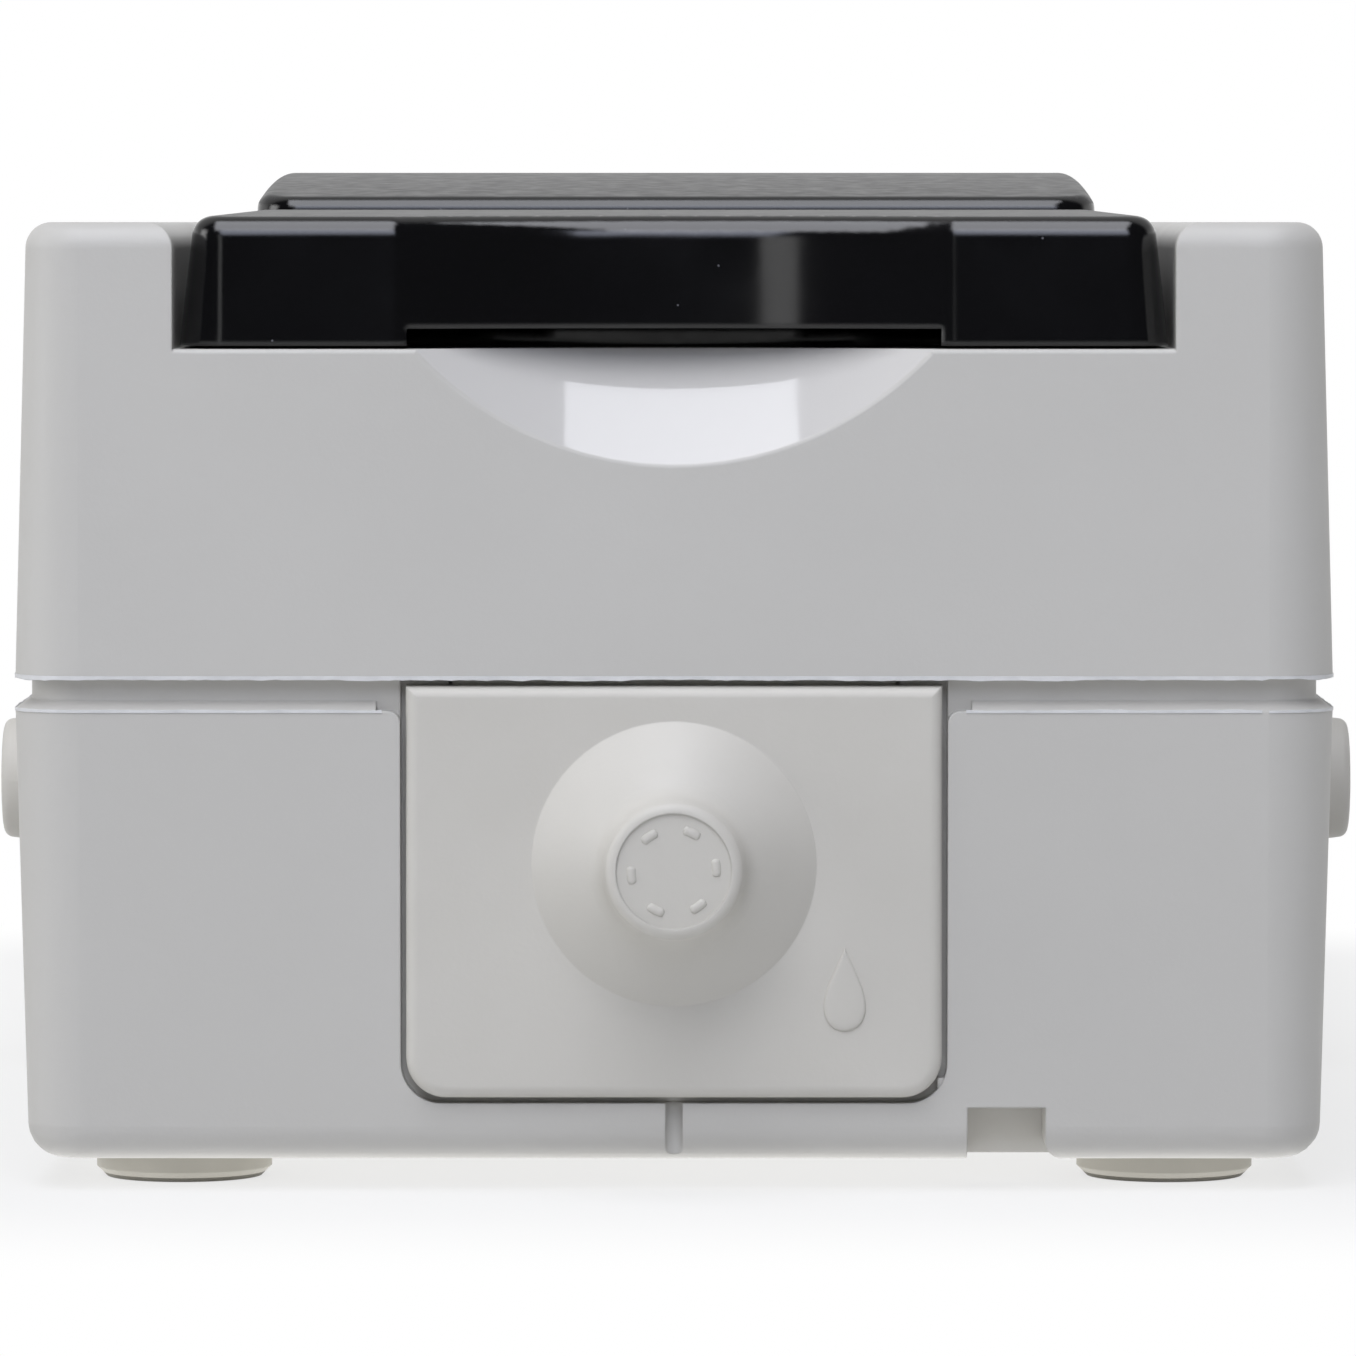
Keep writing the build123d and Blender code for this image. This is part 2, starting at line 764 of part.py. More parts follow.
# Contact carrier: block under the well with two contact chambers and a terminal ledge
carrier_top = insert_z - carrier_gap
carrier_z = carrier_top - carrier_height
ledge_z = carrier_z + chamber_floor
chamber_z = ledge_z + block_floor
carrier_back = socket_y + carrier_end
pole_x = pin_spacing / 2
with BuildPart() as contact_carrier:
    with Locations((0, socket_y, carrier_z)):
        Box(2 * carrier_side, 2 * carrier_end, carrier_height, align=(Align.CENTER, Align.CENTER, Align.MIN))
    fillet(contact_carrier.edges().filter_by(Axis.Z), carrier_corner)
    with Locations((0, carrier_back, carrier_z)):
        Box(2 * ledge_side, 2 * ledge_length, chamber_floor, align=(Align.CENTER, Align.CENTER, Align.MIN))
    with Locations((-pole_x, socket_y, chamber_z), (pole_x, socket_y, chamber_z)):
        Box(
            2 * chamber_side,
            2 * chamber_end,
            carrier_height,
            align=(Align.CENTER, Align.CENTER, Align.MIN),
            mode=Mode.SUBTRACT,
        )
    with Locations((-pole_x, carrier_back, chamber_z), (pole_x, carrier_back, chamber_z)):
        Box(
            strip_width + 2 * earth_clear,
            carrier_end - chamber_end + strip,
            carrier_height,
            align=(Align.CENTER, Align.MAX, Align.MIN),
            mode=Mode.SUBTRACT,
        )
save(contact_carrier, "contact_carrier")

# Folded spring contacts: a U round each plug pin with a tail to its terminal
block_y = carrier_back + ledge_length - block_length / 2
tail_end = block_y + block_length / 2 - strip
tail_z = chamber_z + strip / 2
contact_top = insert_z - contact_gap
for name, x in (("line_contact", -pole_x), ("neutral_contact", pole_x)):
    with BuildPart() as contact:
        with BuildSketch(Plane.XZ.offset(-socket_y - contact_width / 2)):
            with BuildLine():
                Polyline(
                    (x - contact_mouth - strip, contact_top),
                    (x - contact_mouth - strip / 2, contact_top - contact_flare),
                    (x - contact_mouth - strip, tail_z),
                    (x + contact_mouth + strip, tail_z),
                    (x + contact_mouth + strip / 2, contact_top - contact_flare),
                    (x + contact_mouth + strip, contact_top),
                )
            trace(line_width=strip)
        extrude(amount=contact_width)
        with Locations((x, socket_y, tail_z)):
            Box(
                strip_width,
                tail_end - socket_y,
                strip,
                align=(Align.CENTER, Align.MIN, Align.CENTER),
            )
    save(contact, name)

# Earth bracket: strip under the well floor, two clips up into the well, a tail to its terminal
strip_z = insert_z + strip / 2
clip_top = well_z + earth_height
with BuildPart() as earth_bracket:
    with BuildSketch(Plane.YZ.offset(-earth_width / 2)):
        with BuildLine():
            Polyline(
                (socket_y - earth_reach, clip_top),
                (socket_y - earth_reach + strip, clip_top - earth_flare),
                (socket_y - earth_reach, strip_z),
                (socket_y + earth_reach, strip_z),
                (socket_y + earth_reach - strip, clip_top - earth_flare),
                (socket_y + earth_reach, clip_top),
            )
        trace(line_width=strip)
    extrude(amount=earth_width)
    with BuildSketch(Plane.YZ.offset(-strip_width / 2)):
        with BuildLine():
            Polyline(
                (socket_y + earth_reach - strip, strip_z),
                (socket_y + earth_reach - strip / 2, strip_z),
                (socket_y + earth_reach - strip / 2, tail_z),
                (tail_end, tail_z),
            )
        trace(line_width=strip)
    extrude(amount=strip_width)
save(earth_bracket, "earth_bracket")

# Clamp terminals of the socket
for name, x in (("line_terminal", -pole_x), ("neutral_terminal", pole_x), ("earth_terminal", 0)):
    save(clamp_block(x, block_y, ledge_z), name)
socket_clamp_places = [(-pole_x, block_y), (0, block_y), (pole_x, block_y)]
save(clamp_screws(socket_clamp_places, ledge_z), "socket_terminal_screws")

socket_fixing_screws = screw_group(
    [(-insert_screw_x, socket_y), (insert_screw_x, socket_y)],
    insert_z + ear_thickness,
    ear_thickness + screw_bite - wall,
)
save(socket_fixing_screws, "socket_fixing_screws")

# Lid: drafted tray with a sloping top, a rounded back about the hinge and a finger hollow
hollow_radius = (lid_hollow_width**2 / 4 + lid_hollow_depth**2) / (2 * lid_hollow_depth)
lid_rise = (hinge_y - lid_front) * tan(radians(lid_slope))
lid_front_top = hinge_z + hinge_reach - lid_rise
lid_reach = 2 * lid_length


def lid_plan(inset):
    """Plan outline of the lid, run on past the hinge so that only front and sides draft."""
    with Locations((0, lid_front + inset + lid_reach / 2)):
        RectangleRounded(lid_width - 2 * inset, lid_reach, lid_corner_radius)


with BuildPart() as lid_hollow:
    with BuildSketch(Plane.XY.offset(lid_z)):
        lid_plan(lid_wall)
    extrude(amount=2 * recess_depth, taper=lid_draft)
    with BuildSketch(Plane.YZ):
        with BuildLine():
            Polyline(
                (hinge_y + hinge_reach - lid_wall, hinge_z),
                (hinge_y + hinge_reach - lid_wall, lid_z),
                (lid_front, lid_z),
                (lid_front, lid_front_top - lid_wall),
                (hinge_y, hinge_z + hinge_reach - lid_wall),
            )
            RadiusArc(
                (hinge_y, hinge_z + hinge_reach - lid_wall),
                (hinge_y + hinge_reach - lid_wall, hinge_z),
                hinge_reach - lid_wall,
            )
        make_face()
    extrude(amount=body_width, both=True, mode=Mode.INTERSECT)
    with Locations((0, lid_front - hollow_radius + lid_hollow_depth, lid_z)):
        Cylinder(
            hollow_radius + lid_wall,
            4 * recess_depth,
            rotation=(-lid_draft, 0, 0),
            mode=Mode.SUBTRACT,
        )

with BuildPart() as socket_lid:
    with BuildSketch(Plane.XY.offset(lid_z)):
        lid_plan(0)
    extrude(amount=2 * recess_depth, taper=lid_draft)
    with BuildSketch(Plane.YZ):
        with BuildLine():
            Polyline(
                (hinge_y + hinge_reach, hinge_z),
                (hinge_y + hinge_z - lid_z, hinge_z),
            )
            RadiusArc(
                (hinge_y + hinge_z - lid_z, hinge_z),
                (hinge_y, lid_z),
                hinge_z - lid_z,
            )
            Polyline(
                (hinge_y, lid_z),
                (lid_front, lid_z),
                (lid_front, lid_front_top),
                (hinge_y, hinge_z + hinge_reach),
            )
            RadiusArc(
                (hinge_y, hinge_z + hinge_reach),
                (hinge_y + hinge_reach, hinge_z),
                hinge_reach,
            )
        make_face()
    extrude(amount=body_width, both=True, mode=Mode.INTERSECT)
    with Locations((0, lid_front - hollow_radius + lid_hollow_depth, lid_z)):
        Cylinder(
            hollow_radius,
            4 * recess_depth,
            rotation=(-lid_draft, 0, 0),
            mode=Mode.SUBTRACT,
        )
    lid_top = socket_lid.faces().sort_by(Axis.Z)[-1]
    lid_round = socket_lid.faces().filter_by(GeomType.CYLINDER).sort_by(Axis.Y)[-1]
    fillet(
        lid_top.edges().sort_by(Axis.Y)[:-1] + lid_round.edges().filter_by(GeomType.LINE, reverse=True),
        lid_edge_radius,
    )
    add(lid_hollow.part, mode=Mode.SUBTRACT)
    with Locations((0, lid_front, lid_z)):
        Box(
            lid_hollow_width,
            2 * lid_hollow_depth + 4 * lid_wall,
            2 * lid_lip_rise,
            mode=Mode.SUBTRACT,
        )
    # Seat for the seal
    with BuildSketch(Plane.XY.offset(seal_seat_z)):
        with Locations((0, socket_y)):
            Circle(seal_middle + seal_width / 2)
            Circle(seal_middle - seal_width / 2, mode=Mode.SUBTRACT)
    extrude(amount=lid_front_top - seal_seat_z - lid_wall / 2)
    # Pin holes through the side cheeks
    with BuildSketch(Plane.YZ):
        with Locations((hinge_y, hinge_z)):
            Circle(hinge_pin_radius + hinge_clearance)
    extrude(amount=body_width, both=True, mode=Mode.SUBTRACT)
save(socket_lid, "socket_lid")

with BuildPart() as lid_seal:
    with BuildSketch(Plane.XY.offset(seal_z)):
        with Locations((0, socket_y)):
            Circle(seal_middle + seal_width / 2)
            Circle(seal_middle - seal_width / 2, mode=Mode.SUBTRACT)
    extrude(amount=seal_height)
    fillet(lid_seal.edges().group_by(Axis.Z)[0], seal_round)
save(lid_seal, "lid_seal")

with BuildPart() as hinge_pin:
    with Locations((0, hinge_y, hinge_z)):
        Cylinder(hinge_pin_radius, lid_width - 2 * lid_gap - lid_wall, rotation=(0, 90, 0))
    chamfer(hinge_pin.edges(), pin_chamfer)
save(hinge_pin, "hinge_pin")

# Closing spring coiled round the pin: one leg under the back of the lid, one on the trough floor
coil_radius = hinge_pin_radius + hinge_clearance + spring_wire
back_edge = hinge_reach - lid_wall
coil_start = acos((coil_radius + spring_wire / 2 + spring_gap) / back_edge)
lid_leg = (hinge_reach - coil_radius * cos(coil_start)) / sin(coil_start)
floor_leg_y = -2 * coil_radius
floor_leg_z = trough_z + spring_wire / 2 + spring_gap - hinge_z
floor_leg = (floor_leg_y**2 + floor_leg_z**2 - coil_radius**2) ** 0.5
coil_end = atan2(floor_leg_z, floor_leg_y) - atan2(floor_leg, coil_radius) + 2 * pi
coil_length = spring_pitch * (spring_turns + (coil_end - coil_start) / (2 * pi))
coil_plane = Plane(
    (-coil_length / 2, hinge_y, hinge_z),
    x_dir=(0, cos(coil_start), sin(coil_start)),
    z_dir=(1, 0, 0),
)
with BuildPart() as wound_coil:
    with BuildLine() as coil:
        Helix(spring_pitch, coil_length, coil_radius)
    with BuildSketch(Plane(coil.line @ 0, z_dir=coil.line % 0)):
        Circle(spring_wire / 2)
    sweep(path=coil.line, is_frenet=True)
    with BuildSketch(Plane(coil.line @ 0, z_dir=coil.line % 0)):
        Circle(spring_wire / 2)
    extrude(amount=-lid_leg)
    with BuildSketch(Plane(coil.line @ 1, z_dir=coil.line % 1)):
        Circle(spring_wire / 2)
    extrude(amount=floor_leg)
with BuildPart() as lid_spring:
    add(coil_plane * wound_coil.part)
save(lid_spring, "lid_spring")

# Rocker with an arched top, drawn about its pivot and set at its resting tilt
tilt = tilted_plane(rocker_y, pivot_z, rocker_tilt)
rocker_top = top_z + rocker_rise - pivot_z
rocker_width = recess_width - 2 * rocker_side_gap
rocker_taper = rocker_skirt * tan(radians(rocker_draft))
lever_top = lever_rise + lever_plate
with BuildPart() as rocker:
    with BuildSketch(tilt.offset(rocker_top)):
        RectangleRounded(
            rocker_width - 2 * rocker_taper, rocker_length - 2 * rocker_taper, rocker_corner_radius
        )
    extrude(amount=-rocker_skirt, taper=-rocker_draft)
    with BuildSketch(Plane(tilt.origin, x_dir=tilt.y_dir, z_dir=tilt.x_dir)):
        with BuildLine():
            ThreePointArc(
                (-rocker_length / 2, rocker_top - rocker_crown),
                (0, rocker_top),
                (rocker_length / 2, rocker_top - rocker_crown),
            )
            Polyline(
                (rocker_length / 2, rocker_top - rocker_crown),
                (rocker_length / 2, 0),
                (-rocker_length / 2, 0),
                (-rocker_length / 2, rocker_top - rocker_crown),
            )
        make_face()
    extrude(amount=rocker_width, both=True, mode=Mode.INTERSECT)
    fillet(rocker.faces().sort_by(Axis.Z)[-1].edges(), rocker_edge_radius)
    with BuildSketch(tilt.offset(rocker_top - rocker_crown - rocker_wall)):
        RectangleRounded(
            rocker_width - 2 * rocker_taper - 2 * rocker_wall,
            rocker_length - 2 * rocker_taper - 2 * rocker_wall,
            rocker_corner_radius,
        )
    extrude(amount=-rocker_skirt, taper=-rocker_draft, mode=Mode.SUBTRACT)
    with BuildSketch(tilt.offset(lever_rise)):
        with Locations((-leg_x, 0), (leg_x, 0)):
            Rectangle(leg_thickness, leg_width)
    extrude(amount=rocker_top - rocker_crown - rocker_wall / 2 - lever_rise)
save(rocker, "rocker")

# Lever that carries the rocker: plate, two arms with trunnions and a hub for the plunger
with BuildPart() as switch_lever:
    with BuildSketch(tilt.offset(lever_rise)):
        RectangleRounded(2 * lever_side, 2 * lever_end, rocker_corner_radius)
        with Locations((-leg_x, 0), (leg_x, 0)):
            Rectangle(leg_thickness + 2 * leg_clearance, leg_width + 2 * leg_clearance, mode=Mode.SUBTRACT)
    extrude(amount=lever_plate)
    with BuildSketch(tilt.offset(lever_rise - hub_length)):
        Rectangle(2 * hub_half, 2 * hub_half)
    extrude(amount=hub_length + lever_plate / 2)
    with BuildSketch(tilt.offset(-trunnion_radius)):
        with Locations((lever_arm / 2 - lever_side, 0), (lever_side - lever_arm / 2, 0)):
            Rectangle(lever_arm, lever_arm_width)
    extrude(amount=trunnion_radius + lever_top)
    with BuildSketch(Plane.YZ.offset(lever_side - lever_arm)):
        with Locations((rocker_y, pivot_z)):
            Circle(trunnion_radius)
    extrude(amount=switch_side - lever_side + lever_arm - trunnion_end_gap)
    with BuildSketch(Plane.YZ.offset(lever_arm - lever_side)):
        with Locations((rocker_y, pivot_z)):
            Circle(trunnion_radius)
    extrude(amount=lever_side - switch_side - lever_arm + trunnion_end_gap)
    with BuildSketch(tilt.offset(lever_rise - hub_length)):
        Circle(plunger_radius + plunger_gap)
    extrude(amount=hub_length, mode=Mode.SUBTRACT)
save(switch_lever, "switch_lever")

plunger_top = plunger_length - plunger_drop
with BuildPart() as plunger:
    with BuildSketch(tilt.offset(-plunger_drop)):
        Circle(plunger_radius)
    extrude(amount=plunger_length)
    fillet(plunger.edges().group_by(Axis.Z)[0], plunger_nose)
save(plunger, "plunger")

# Compression spring between the plunger and the closed end of its bore
spring_room = lever_rise - plunger_top
spring_radius = plunger_radius - plunger_spring_wire / 2 - plunger_gap
spring_rise = spring_room - plunger_spring_wire - 2 * plunger_gap
spring_start = plunger_top + plunger_spring_wire / 2 + plunger_gap
with BuildPart() as plunger_spring:
    with BuildLine() as coil:
        Helix(
            spring_rise / plunger_spring_turns,
            spring_rise,
            spring_radius,
            center=tilt.offset(spring_start).origin,
            direction=tilt.z_dir,
        )
    with BuildSketch(Plane(coil.line @ 0, z_dir=coil.line % 0)):
        Circle(plunger_spring_wire / 2)
    sweep(path=coil.line, is_frenet=True)
save(plunger_spring, "plunger_spring")

# Contact bridge: strip that tips on a half-round roll, with a button at each end
bridge_plane = tilted_plane(rocker_y, bridge_z, -bridge_tilt)
with BuildPart() as contact_bridge:
    with BuildSketch(bridge_plane.offset(-bridge_thickness / 2)):
        RectangleRounded(bridge_strip, 2 * bridge_half, bridge_corner)
    extrude(amount=bridge_thickness)
    with BuildSketch(bridge_plane.offset(-bridge_thickness / 2)):
        with Locations((0, -button_reach), (0, button_reach)):
            Circle(button_radius)
    extrude(amount=-button_height)
    with BuildSketch(Plane.YZ.offset(-bridge_strip / 2)):
        with Locations((rocker_y, bridge_z)):
            Circle(bridge_roll)
            Rectangle(
                2 * bridge_roll,
                bridge_roll,
                rotation=-bridge_tilt,
                align=(Align.CENTER, Align.MIN),
                mode=Mode.SUBTRACT,
            )
    extrude(amount=bridge_strip)
save(contact_bridge, "contact_bridge")

# Fixed contacts: strips on the switch floor, each led out to its terminal
front_block_y = rocker_y - switch_end - block_length / 2 - strip
back_block_y = rocker_y + switch_end + block_length / 2 + strip
strip_mid = switch_floor_z + strip / 2
with BuildPart() as lower_contact:
    with Locations((0, rocker_y - button_reach, strip_mid)):
        Box(bridge_strip, 2 * button_radius + strip, strip)
    with Locations((terminal_x / 2, rocker_y - button_reach, strip_mid)):
        Box(terminal_x + strip_width, 2 * button_radius, strip)
    with Locations((terminal_x, rocker_y - button_reach, strip_mid)):
        Box(
            strip_width,
            rocker_y - button_reach - front_block_y + block_length / 2 - strip,
            strip,
            align=(Align.CENTER, Align.MAX, Align.CENTER),
        )
    with Locations((0, rocker_y - button_reach, switch_floor_z + strip)):
        Cylinder(button_radius, button_height, align=(Align.CENTER, Align.CENTER, Align.MIN))
save(lower_contact, "lower_contact")

with BuildPart() as upper_contact:
    with Locations((0, rocker_y + button_reach - button_radius, strip_mid)):
        Box(
            strip_width,
            back_block_y + block_length / 2 - strip - rocker_y - button_reach + button_radius,
            strip,
            align=(Align.CENTER, Align.MIN, Align.CENTER),
        )
    with Locations((0, rocker_y + button_reach, switch_floor_z + strip)):
        Cylinder(button_radius, button_height, align=(Align.CENTER, Align.CENTER, Align.MIN))
save(upper_contact, "upper_contact")

with BuildPart() as common_contact:
    with Locations((-terminal_x / 2, rocker_y, strip_mid)):
        Box(terminal_x + strip_width, strip_width, strip)
    with Locations((-terminal_x, rocker_y, strip_mid)):
        Box(
            strip_width,
            rocker_y - front_block_y + block_length / 2 - strip,
            strip,
            align=(Align.CENTER, Align.MAX, Align.CENTER),
        )
    with Locations((0, rocker_y, switch_floor_z)):
        Box(
            bridge_strip / 2,
            strip,
            bridge_z - bridge_roll - bridge_gap - switch_floor_z,
            align=(Align.CENTER, Align.CENTER, Align.MIN),
        )
save(common_contact, "common_contact")

# Clamp terminals of the switch
terminal_places = {
    "common_terminal": (-terminal_x, front_block_y),
    "lower_terminal": (terminal_x, front_block_y),
    "upper_terminal": (0, back_block_y),
}
for name, (x, y) in terminal_places.items():
    save(clamp_block(x, y, switch_ledge_z), name)
save(clamp_screws(list(terminal_places.values()), switch_ledge_z), "switch_terminal_screws")

# Switch body: open case with trunnion holes, terminal ledges, strip slots and ears
with BuildPart() as switch_body:
    with BuildSketch(Plane.XY.offset(switch_z)):
        with Locations((0, rocker_y)):
            RectangleRounded(2 * switch_side, 2 * switch_end, switch_corner)
    extrude(amount=switch_top - switch_z)
    with BuildSketch(Plane.XY.offset(switch_floor_z)):
        with Locations((0, rocker_y)):
            RectangleRounded(
                2 * (switch_side - switch_wall), 2 * (switch_end - switch_wall), switch_inner_corner
            )
    extrude(amount=switch_top - switch_floor_z, mode=Mode.SUBTRACT)
    with BuildSketch(Plane.XY.offset(switch_ear_z)):
        with Locations((-insert_screw_x, rocker_y), (insert_screw_x, rocker_y)):
            Circle(ear_radius)
        for side in (-1, 1):
            with Locations((side * (switch_side - switch_wall / 2 + insert_screw_x) / 2, rocker_y)):
                Rectangle(insert_screw_x - switch_side + switch_wall / 2, 2 * ear_radius)
    extrude(amount=ear_thickness)
    with Locations(
        (-insert_screw_x, rocker_y, switch_ear_z + ear_thickness),
        (insert_screw_x, rocker_y, switch_ear_z + ear_thickness),
    ):
        Hole(screw_radius + screw_clearance, 2 * ear_thickness)
    # Ledges for the terminals, front and back
    with Locations((0, rocker_y - switch_end, switch_z)):
        Box(
            2 * ledge_side,
            2 * ledge_length,
            switch_ledge_z - switch_z,
            align=(Align.CENTER, Align.CENTER, Align.MIN),
        )
    with Locations((0, rocker_y + switch_end, switch_z)):
        Box(
            2 * block_width,
            2 * ledge_length,
            switch_ledge_z - switch_z,
            align=(Align.CENTER, Align.CENTER, Align.MIN),
        )
    for x, y in ((-terminal_x, -switch_end), (terminal_x, -switch_end), (0, switch_end)):
        with Locations((x, rocker_y + y, switch_floor_z)):
            Box(
                strip_width + 2 * earth_clear,
                3 * switch_wall,
                2 * strip,
                align=(Align.CENTER, Align.CENTER, Align.MIN),
                mode=Mode.SUBTRACT,
            )
    with BuildSketch(Plane.YZ):
        with Locations((rocker_y, pivot_z)):
            Circle(trunnion_radius + trunnion_clearance)
    extrude(amount=switch_side, both=True, mode=Mode.SUBTRACT)
save(switch_body, "switch_body")

with BuildPart() as switch_seal:
    with BuildSketch(Plane.XY.offset(switch_top)):
        with Locations((0, rocker_y)):
            RectangleRounded(2 * switch_side, 2 * switch_end, switch_corner)
            RectangleRounded(
                2 * (switch_side - switch_wall), 2 * (switch_end - switch_wall), switch_inner_corner,
                mode=Mode.SUBTRACT,
            )
    extrude(amount=switch_seal_height)
save(switch_seal, "switch_seal")

switch_fixing_screws = screw_group(
    [(-insert_screw_x, rocker_y), (insert_screw_x, rocker_y)],
    switch_ear_z + ear_thickness,
    ear_thickness + screw_bite - wall,
)
save(switch_fixing_screws, "switch_fixing_screws")

print(f"body {body_width:.2f} x {body_length:.2f}, top of the cover {top_z:.2f} mm")
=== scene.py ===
import json
import math
import random

import bmesh
import bpy
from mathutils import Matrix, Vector
from mathutils.bvhtree import BVHTree

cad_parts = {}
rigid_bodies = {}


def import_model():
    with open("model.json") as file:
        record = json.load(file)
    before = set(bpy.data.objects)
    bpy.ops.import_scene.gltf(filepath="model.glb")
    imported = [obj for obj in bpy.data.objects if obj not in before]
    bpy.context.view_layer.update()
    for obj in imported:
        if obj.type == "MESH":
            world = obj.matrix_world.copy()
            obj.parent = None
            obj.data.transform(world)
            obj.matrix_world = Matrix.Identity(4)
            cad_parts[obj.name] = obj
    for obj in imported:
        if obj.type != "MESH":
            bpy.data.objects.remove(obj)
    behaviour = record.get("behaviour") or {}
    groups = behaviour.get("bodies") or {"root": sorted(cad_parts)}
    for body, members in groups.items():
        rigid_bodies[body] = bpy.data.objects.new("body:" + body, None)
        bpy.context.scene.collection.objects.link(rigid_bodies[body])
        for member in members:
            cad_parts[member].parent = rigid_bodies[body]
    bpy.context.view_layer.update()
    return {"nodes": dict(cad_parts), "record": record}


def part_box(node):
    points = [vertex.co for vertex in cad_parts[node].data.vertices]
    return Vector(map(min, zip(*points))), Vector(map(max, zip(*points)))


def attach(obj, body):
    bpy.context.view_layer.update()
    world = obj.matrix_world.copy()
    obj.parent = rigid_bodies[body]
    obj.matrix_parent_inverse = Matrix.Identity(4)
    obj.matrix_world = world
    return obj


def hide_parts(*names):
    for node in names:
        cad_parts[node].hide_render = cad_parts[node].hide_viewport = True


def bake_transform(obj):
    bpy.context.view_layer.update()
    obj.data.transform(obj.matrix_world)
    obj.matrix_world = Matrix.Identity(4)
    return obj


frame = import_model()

nodes = frame["nodes"]
scene = bpy.context.scene
mm = 0.001
for spare in [o for o in bpy.data.objects if o.name in ("Cube", "Light", "Camera")]:
    bpy.data.objects.remove(spare)
print("frame loaded,", len(nodes), "nodes")


def linear(hexColour):  # sRGB hex to the linear colour that a shader takes
    channels = [int(hexColour[i:i + 2], 16) / 255 for i in (1, 3, 5)]
    return [c / 12.92 if c <= 0.04045 else ((c + 0.055) / 1.055) ** 2.4 for c in channels] + [1.0]


def perMm(size):  # texture scale that draws a pattern of this size in millimetres
    return 1000 / size


def addNode(tree, kind, settings=None, links=None):  # a node, its values and what feeds it
    made = tree.nodes.new(kind)
    for key, value in (settings or {}).items():
        if isinstance(key, int) or key in made.inputs:
            made.inputs[key].default_value = value
        else:
            setattr(made, key, value)
    for key, source in (links or {}).items():
        tree.links.new(source, made.inputs[key])
    return made


noise = {
    "usual": (0.3, 0.7),  # between these lies nearly all of a noise texture
    "cloudDetail": 3.0, "smearDetail": 4.0, "grainDetail": 2.0, "lineDetail": 3.0,
}
edgeSamples = 6  # rays that round an edge's shading
waveBands = 20 / (2 * math.pi)  # bands that a wave texture draws per unit of its scale


def startMaterial(name):  # a material, its tree, its shader and the object's own space
    material = bpy.data.materials.new(name)
    material.use_nodes = True
    tree = material.node_tree
    place = addNode(tree, "ShaderNodeTexCoord").outputs["Object"]
    return material, tree, tree.nodes["Principled BSDF"], place


def mouldedMaterial(look):  # colour clouds, uneven gloss and a surface grain
    material, tree, shader, place = startMaterial(look["name"])
    clouds = addNode(
        tree, "ShaderNodeTexNoise",
        {"Scale": perMm(look["cloud"]), "Detail": noise["cloudDetail"]},
        {"Vector": place},
    )
    tint = addNode(
        tree, "ShaderNodeMix",
        {"data_type": "RGBA", 6: linear(look["dark"]), 7: linear(look["light"])},
        {0: clouds.outputs["Fac"]},
    )
    colour = tint.outputs[2]
    if "speck" in look:  # dust that settled on the surface
        motes = addNode(
            tree, "ShaderNodeTexVoronoi", {"Scale": perMm(look["speckSpacing"])}, {"Vector": place}
        )
        isMote = addNode(
            tree, "ShaderNodeMath",
            {"operation": "LESS_THAN", 1: look["speck"] / look["speckSpacing"]},
            {0: motes.outputs["Distance"]},
        )
        dusty = addNode(
            tree, "ShaderNodeMix",
            {"data_type": "RGBA", 7: linear(look["speckColour"])},
            {0: isMote.outputs[0], 6: colour},
        )
        colour = dusty.outputs[2]
    tree.links.new(colour, shader.inputs["Base Color"])
    smears = addNode(
        tree, "ShaderNodeTexNoise",
        {"Scale": perMm(look["smear"]), "Detail": noise["smearDetail"]},
        {"Vector": place},
    )
    gloss = addNode(
        tree, "ShaderNodeMapRange",
        {"From Min": noise["usual"][0], "From Max": noise["usual"][1],
         "To Min": look["rough"][0], "To Max": look["rough"][1]},
        {"Value": smears.outputs["Fac"]},
    )
    tree.links.new(gloss.outputs[0], shader.inputs["Roughness"])
    grain = addNode(
        tree, "ShaderNodeTexNoise",
        {"Scale": perMm(look["grain"]), "Detail": noise["grainDetail"]},
        {"Vector": place},
    )
    edge = addNode(tree, "ShaderNodeBevel", {"samples": edgeSamples, "Radius": look["edge"] * mm})
    relief = addNode(
        tree, "ShaderNodeBump",
        {"Strength": 1.0, "Distance": look["depth"] * mm},
        {"Height": grain.outputs["Fac"], "Normal": edge.outputs[0]},
    )
    tree.links.new(relief.outputs[0], shader.inputs["Normal"])
    shader.inputs["IOR"].default_value = look["ior"]
    shader.inputs["Sheen Weight"].default_value = look.get("sheen", 0.0)
    return material


